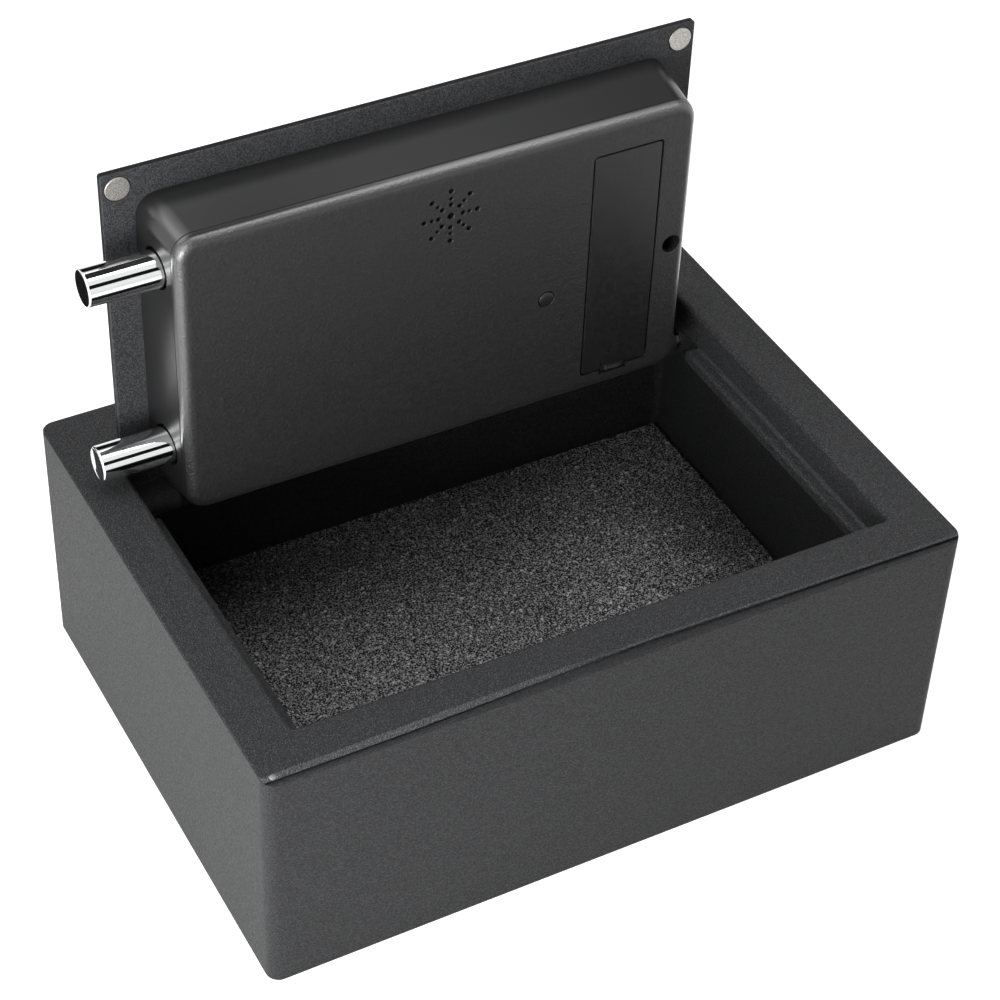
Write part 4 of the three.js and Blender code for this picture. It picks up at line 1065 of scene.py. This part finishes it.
# Battery lid: a flush panel with softened edges and a spring latch at its lower end
def makeLid():
    v = lidValues
    half, near, soft = v["tongueHalf"], v["near"], v["soft"]
    middle = (v["left"] + v["right"]) / 2
    low, raised = coverFront - v["thickness"], coverFront + v["raise"]
    sections = [(lidRing(0), low), (lidRing(0), coverFront - soft)]
    for a in (0.5, 1.0, math.pi / 2):
        sections.append((lidRing(-soft * (1 - math.cos(a))), coverFront - soft + soft * math.sin(a)))
    sections.append((lidRing(-0.6), coverFront))
    lid = doorLoft("batteryLid", sections, materials["lid"])
    start, root = near - v["tongueLength"], near + v["tongueRoot"]
    sections = []
    for i, w in ((0, low), (0, raised - 0.4), (0.12, raised - 0.12), (0.4, raised), (0.7, raised)):
        sections.append((roundedRing(middle - half + i, middle + half - i, start + i, root - i, 1.0), w))
    boolean(lid, [doorLoft("lidTongue", sections, materials["lid"])], "UNION")
    # A small raised arrow points to the latch
    m = v["markV"]
    arrow = [(middle - 3.2, m + 3), (middle - 3.2, m - 1), (middle - 5.2, m - 1), (middle, m - 5),
             (middle + 5.2, m - 1), (middle + 3.2, m - 1), (middle + 3.2, m + 3)]
    boolean(lid, [doorLoft("arrowTool", [(arrow, coverFront - 0.5), (arrow, coverFront + 0.45)])], "UNION")
    slots = [doorBlock("slotTool", middle - half, middle + half, near - 1, near + 1.6, raised,
                       coverFront + 3)]
    for side in (-1, 1):
        cut = middle + side * (half + 0.35)
        slots.append(doorBlock("reliefTool", cut - 0.35, cut + 0.35, near - 1, root + 1.5, low - 1,
                               coverFront + 2))
    boolean(lid, slots)
    # The bent spring clip that holds the lid shut
    c, foot = v["clipHalf"], start + 0.7
    outline = [(-c, foot + 3), (-c, foot + 0.5), (-c + 0.5, foot), (c - 0.5, foot), (c, foot + 0.5),
               (c, foot + 3), (c - 0.9, foot + 3), (c - 0.9, foot + 0.9), (-c + 0.9, foot + 0.9),
               (-c + 0.9, foot + 3)]
    outline = [(middle + x, y) for x, y in outline]
    clip = doorLoft("lidClip", [(outline, raised - 0.3), (outline, coverFront - 0.15)], materials["steel"])
    finishPiece(clip, "lid", "plated_steel")
    finishPiece(lid, "lid", "matte_black_plastic", "battery_lid")


def makeButton():
    v, wall = buttonValues, coverValues["wall"]
    angles = [i * math.pi / 16 for i in range(9)]
    dome = [(v["radius"] * math.cos(angle), -v["dome"] * math.sin(angle)) for angle in angles]
    profile = [(0, wall + 4), (2, wall + 4), (2, wall + 1.5), (6, wall + 1.5), (6, wall + 0.3),
               (v["radius"], wall + 0.3)]
    place = onDoor(v["x"], v["v"], coverFront)
    button = turnProfile("programButton", profile + dome, place, "y", 48, materials["lid"])
    finishPiece(button, "button", "matte_black_plastic", "program_button")


# Bolts: turned bars with a polished rim round a flat end
boltValues = {"radius": 9, "end": -169.2, "length": 66, "chamfer": 0.8}


def makeBolt(name, height, node):
    v = boltValues
    r, c, end = v["radius"], v["chamfer"], v["end"]
    back = end + v["length"]
    profile = [(0, end + 0.25), (r - c - 1.0, end + 0.22), (r - c - 0.45, end + 0.08), (r - c - 0.1, end),
               (r - c + 0.1, end), (r - 0.3, end + 0.25), (r - 0.06, end + 0.6), (r, end + 1.0),
               (r, end + 1.4), (r, back - 0.6), (r - 0.6, back), (0, back)]
    place = onDoor(0, height, coverValues["boltW"])
    bolt = turnProfile(name, profile, place, "x", 96, materials["chrome"], 40)
    finishPiece(bolt, "bolts", "bright_chrome", node)


makePlate()
makeCover()
makeLid()
makeButton()
makeBolt("lowerBolt", coverValues["boltLow"], "locking_bolt_lower")
makeBolt("upperBolt", coverValues["boltHigh"], "locking_bolt_upper")
print("door made")


# Hinge: a turned pin through a bracket on the box and a welded barrel on the door

hingeValues = {
    "barrelGap": 3.3, "barrelLength": 22, "barrelRadius": 6, "barrelBevel": 0.5, "endShrink": 0.93,
    "bore": 3.35, "pinRadius": 3, "pinReach": 24, "headRadius": 5.5, "head": 2, "sheet": 2.5,
}


def makeBarrel(name, side, node):
    v, foot = hingeValues, plateValues["inner"]
    outer = side * (rimValues["openingSide"] - v["barrelGap"])
    inner = outer - side * v["barrelLength"]
    r, bevel, small = v["barrelRadius"], side * v["barrelBevel"], v["endShrink"]
    outline = arcPoints(0, 0, r, -0.05, math.pi + 0.05, 40)
    outline += [(-r - 0.3, foot + 0.4), (-r - 0.8, foot), (r + 0.8, foot), (r + 0.3, foot + 0.4)]
    rings = []
    for x, shrink in ((inner, small), (inner + bevel, 1), (outer - bevel, 1), (outer, small)):
        rings.append([onDoor(x, a * shrink, b * shrink if b > foot + 0.5 else b) for a, b in outline])
    barrel = loftRings(name, rings, materials["powder"], sharpAngle=40)
    bore = rod("boreTool", v["bore"], min(inner, outer) - 2, max(inner, outer) + 2, onDoor(0, 0, 0), "x", 48)
    boolean(barrel, [bore], sharpAngle=40)
    finishPiece(barrel, "door", "black_powder_coat", node)


def makePin(name, side, node):
    v = hingeValues
    pin, head = v["pinRadius"], v["headRadius"]
    outside = rimValues["openingSide"] + v["sheet"] + 0.3
    inside = rimValues["openingSide"] - v["pinReach"]
    profile = [(0, inside), (pin - 0.5, inside), (pin, inside + 0.5), (pin, outside), (head, outside),
               (head, outside + 1.0), (head - 0.4, outside + 1.7), (head - 1.4, outside + v["head"]),
               (0, outside + v["head"])]
    turned = turnProfile(name, [(r, side * x) for r, x in profile], onDoor(0, 0, 0), "x", 48,
                         materials["chrome"], 40)
    finishPiece(turned, "box", "bright_chrome", node)


makeBarrel("leftBarrel", -1, "hinge_barrel_left")
makeBarrel("rightBarrel", 1, "hinge_barrel_right")
makePin("leftPin", -1, "hinge_pin_left")
makePin("rightPin", 1, "hinge_pin_right")
print("hinge made")


# Keypad on the outer side: a drawn housing with pockets, soft keys and a smoked window

padValues = {
    "half": 48, "near": 42.2, "far": 148.2, "base": -12.5, "height": 10.5, "draft": 2, "cornerRadius": 8,
    "fillet": 2, "windowHalf": 20, "windowLow": 138.7, "windowHigh": 144.7, "windowDeep": 1.6,
    "windowCorner": 3.1, "lockRadius": 9, "lockDeep": 14, "clearance": 0.3,
}
keyValues = {
    "halfX": 9.5, "halfV": 6, "pitchX": 25, "pitchV": 16, "firstV": 82.2, "height": 5, "proud": 1.4,
    "gap": 0.4, "cornerRadius": 2.5, "fillet": 0.9, "figureSize": 7.2, "figureDepth": 0.04,
    "figures": "123456789*0#",
}


def keyRing(x, v, outset, rounding):
    k = keyValues
    wide, high = k["halfX"] + outset, k["halfV"] + outset
    return roundedRing(x - wide, x + wide, v - high, v + high, k["cornerRadius"] + rounding)


# Keys are numbered from the row nearest the hinge
def keyPlaces():
    k = keyValues
    for row in range(4):
        for column in range(3):
            yield row * 3 + column + 1, (column - 1) * k["pitchX"], k["firstV"] + row * k["pitchV"]


def makeHousing():
    p, gap, loose = padValues, keyValues["gap"], padValues["clearance"]
    top = p["base"] - p["height"]

    def ring(inset, rounding):
        return roundedRing(-p["half"] + inset, p["half"] - inset, p["near"] + inset, p["far"] - inset,
                           p["cornerRadius"] - rounding, 10)

    sections = [(ring(p["draft"] + p["fillet"] + 0.4, p["fillet"] + 0.4), top)]
    for x, w in arcPoints(0, p["fillet"], p["fillet"], -math.pi / 2, 0, 7):
        drawn = p["fillet"] - x
        sections.append((ring(p["draft"] + drawn, drawn), top + w))
    sections.append((ring(0, 0), p["base"]))
    housing = doorLoft("keypadHousing", sections, materials["darkPlastic"])
    tools = []
    for number, x, v in keyPlaces():
        wide, snug = keyRing(x, v, gap + loose, gap), keyRing(x, v, gap, gap)
        pocket = [(wide, top - 2), (wide, top), (snug, top + 0.35), (snug, top + 5.1)]
        tools.append(doorLoft("pocketTool", pocket))
    window = roundedRing(-p["windowHalf"] - loose, p["windowHalf"] + loose, p["windowLow"] - loose,
                         p["windowHigh"] + loose, p["windowCorner"])
    tools.append(doorLoft("windowTool", [(window, top - 2), (window, top + p["windowDeep"])]))
    tools.append(rod("mouthTool", p["lockRadius"] + loose, 2, -p["lockDeep"],
                     onDoor(0, plateValues["lockV"], top), "y", 56))
    boolean(housing, tools)
    finishPiece(housing, "door", "dark_plastic", "keypad_housing")


# A figure is a text outline made a thin mesh, printed on the key's face
def figureMesh(text, x, v, w):
    data = bpy.data.curves.new("figure", "FONT")
    data.body = text
    data.size = keyValues["figureSize"] / 1000
    data.align_x = "CENTER"
    data.align_y = "CENTER"
    data.extrude = keyValues["figureDepth"] / 1000
    holder = addObject("figure", data)
    bpy.context.view_layer.update()
    mesh = evaluated(holder)
    bpy.data.objects.remove(holder)
    # Its top points to the hinge, so that it reads from the front of the box on the closed door
    place = Matrix.Translation([part / 1000 for part in onDoor(x, v, w)])
    mesh.transform(place @ Matrix.Rotation(-math.pi / 2, 4, "X"))
    mesh.materials.clear()
    mesh.materials.append(materials["ink"])
    return mesh


def makeKeys():
    k, fillet = keyValues, keyValues["fillet"]
    top = padValues["base"] - padValues["height"] - k["proud"]
    for number, x, v in keyPlaces():
        sections = [(keyRing(x, v, -fillet - 0.4, -fillet - 0.2), top)]
        for a in softTurns:
            drawn = fillet * (1 - math.sin(a))
            sections.append((keyRing(x, v, -drawn, -drawn), top + fillet * (1 - math.cos(a))))
        sections.append((keyRing(x, v, 0, 0), top + k["height"]))
        key = doorLoft(f"key{number}", sections, materials["rubber"], 40)
        figure = addObject(f"key{number}Figure", figureMesh(k["figures"][number - 1], x, v, top - 0.02))
        finishPiece(key, f"key_{number}_body", "key_rubber", f"key_{number}")
        finishPiece(figure, f"key_{number}_body", "key_rubber")


makeHousing()
makeKeys()
print("keypad made")


# Studio: a pale floor, soft lamps and a white surround

studioValues = {
    "floorSize": 12, "floorGlow": 0.75, "worldAmbient": 0.02,
    "lamps": (
        ("nearSoftbox", (-0.72, -0.58, 0.24), (0, -0.05, 0.08), 0.42, 7),
        ("cornerSoftbox", (-0.55, -0.40, 0.62), (-0.16, -0.10, 0.1), 0.3, 0.9),
        ("leftSoftbox", (-1.9, -0.25, 0.85), (0, -0.05, 0.1), 1.3, 8),
        ("topSoftbox", (0.4, 0.0, 1.9), (0, -0.05, 0.1), 1.2, 14),
        ("sideSoftbox", (-0.9, 0.6, 1.4), (0, -0.05, 0.1), 1.0, 6),
        ("backSoftbox", (0.15, 0.75, 1.9), (0, -0.05, 0.1), 1.4, 3.5),
    ),
    "cards": (
        ("backCard", (0.45, 1.6, 1.2), (0, 0.05, 0.2), 2.6, 1.5),
        ("cameraCard", (0.27, -1.25, 1.05), (-0.15, 0.07, 0.2), 1.3, 0.55),
        ("topCard", (-0.05, 0.13, 0.6), (-0.16, 0.07, 0.25), 0.2, 0.26),
        ("sideCard", (-0.243, 0.22, 0.145), (-0.17, 0.074, 0.25), 0.16, 0.11),
    ),
}


def seenByCamera(tree):
    path = addNode(tree, "ShaderNodeLightPath").outputs
    first = mathFrom(tree, "ADD", path["Is Camera Ray"], path["Is Glossy Ray"])
    return mathFrom(tree, "ADD", first, path["Is Transmission Ray"], use_clamp=True)


# One shader for what the camera, a reflection or glass sees, and another for the light on the object
def pickShader(tree, unseen, seen):
    mix = addNode(tree, "ShaderNodeMixShader")
    for socket, value in zip(mix.inputs, (seenByCamera(tree), unseen.outputs[0], seen.outputs[0])):
        tree.links.new(value, socket)
    return mix.outputs[0]


def makeWorld():
    world = bpy.data.worlds.new("whiteSurround")
    world.use_nodes = True
    scene.world = world
    tree = world.node_tree
    tree.nodes.clear()
    ambient = addNode(tree, "ShaderNodeBackground", Color=(1, 1, 1, 1), Strength=studioValues["worldAmbient"])
    white = addNode(tree, "ShaderNodeBackground", Color=(1, 1, 1, 1), Strength=1.0)
    addNode(tree, "ShaderNodeOutputWorld", Surface=pickShader(tree, ambient, white))


def makeFloor():
    material, tree, shader, place = newMaterial("floorWhite", Roughness=0.9, Specular_IOR_Level=0.0)
    setNode(tree, shader, Base_Color=varied(tree, place, 3, 2, 0.8, 0.82))
    dark = addNode(tree, "ShaderNodeEmission", Color=(0, 0, 0, 1), Strength=0.0)
    glow = addNode(tree, "ShaderNodeEmission", Color=(1, 1, 1, 1), Strength=studioValues["floorGlow"])
    total = addNode(tree, "ShaderNodeAddShader")
    tree.links.new(shader.outputs[0], total.inputs[0])
    tree.links.new(pickShader(tree, dark, glow), total.inputs[1])
    tree.links.new(total.outputs[0], tree.nodes["Material Output"].inputs["Surface"])
    size = studioValues["floorSize"] / 2
    floor = addObject("studioFloor", planeMesh("studioFloor", size, size))
    floor.data.materials.append(material)


def aimAt(piece, place, aim, axis):
    piece.location = place
    piece.rotation_euler = (Vector(aim) - Vector(place)).to_track_quat(axis, "Y").to_euler()


def makeLamps():
    for name, place, aim, size, power in studioValues["lamps"]:
        data = bpy.data.lights.new(name, "AREA")
        data.shape = "SQUARE"
        data.size = size
        data.energy = power
        aimAt(addObject(name, data), place, aim, "-Z")


# Dark cards stand round the set where only reflections show them, and give the chrome its dark bands
def makeCards():
    material, tree, shader, place = newMaterial("darkCard", Roughness=1.0, Specular_IOR_Level=0.0)
    setNode(tree, shader, Base_Color=varied(tree, place, 4, 2, 0.012, 0.02))
    for name, stand, aim, width, height in studioValues["cards"]:
        card = addObject(name, planeMesh(name, width / 2, height / 2))
        card.data.materials.append(material)
        aimAt(card, stand, aim, "Z")
        card.visible_camera = False
        card.visible_diffuse = False
        card.visible_shadow = False
        card.visible_transmission = False


makeWorld()
makeFloor()
makeCards()
makeLamps()
scene.view_settings.view_transform = "Standard"
print("studio made")
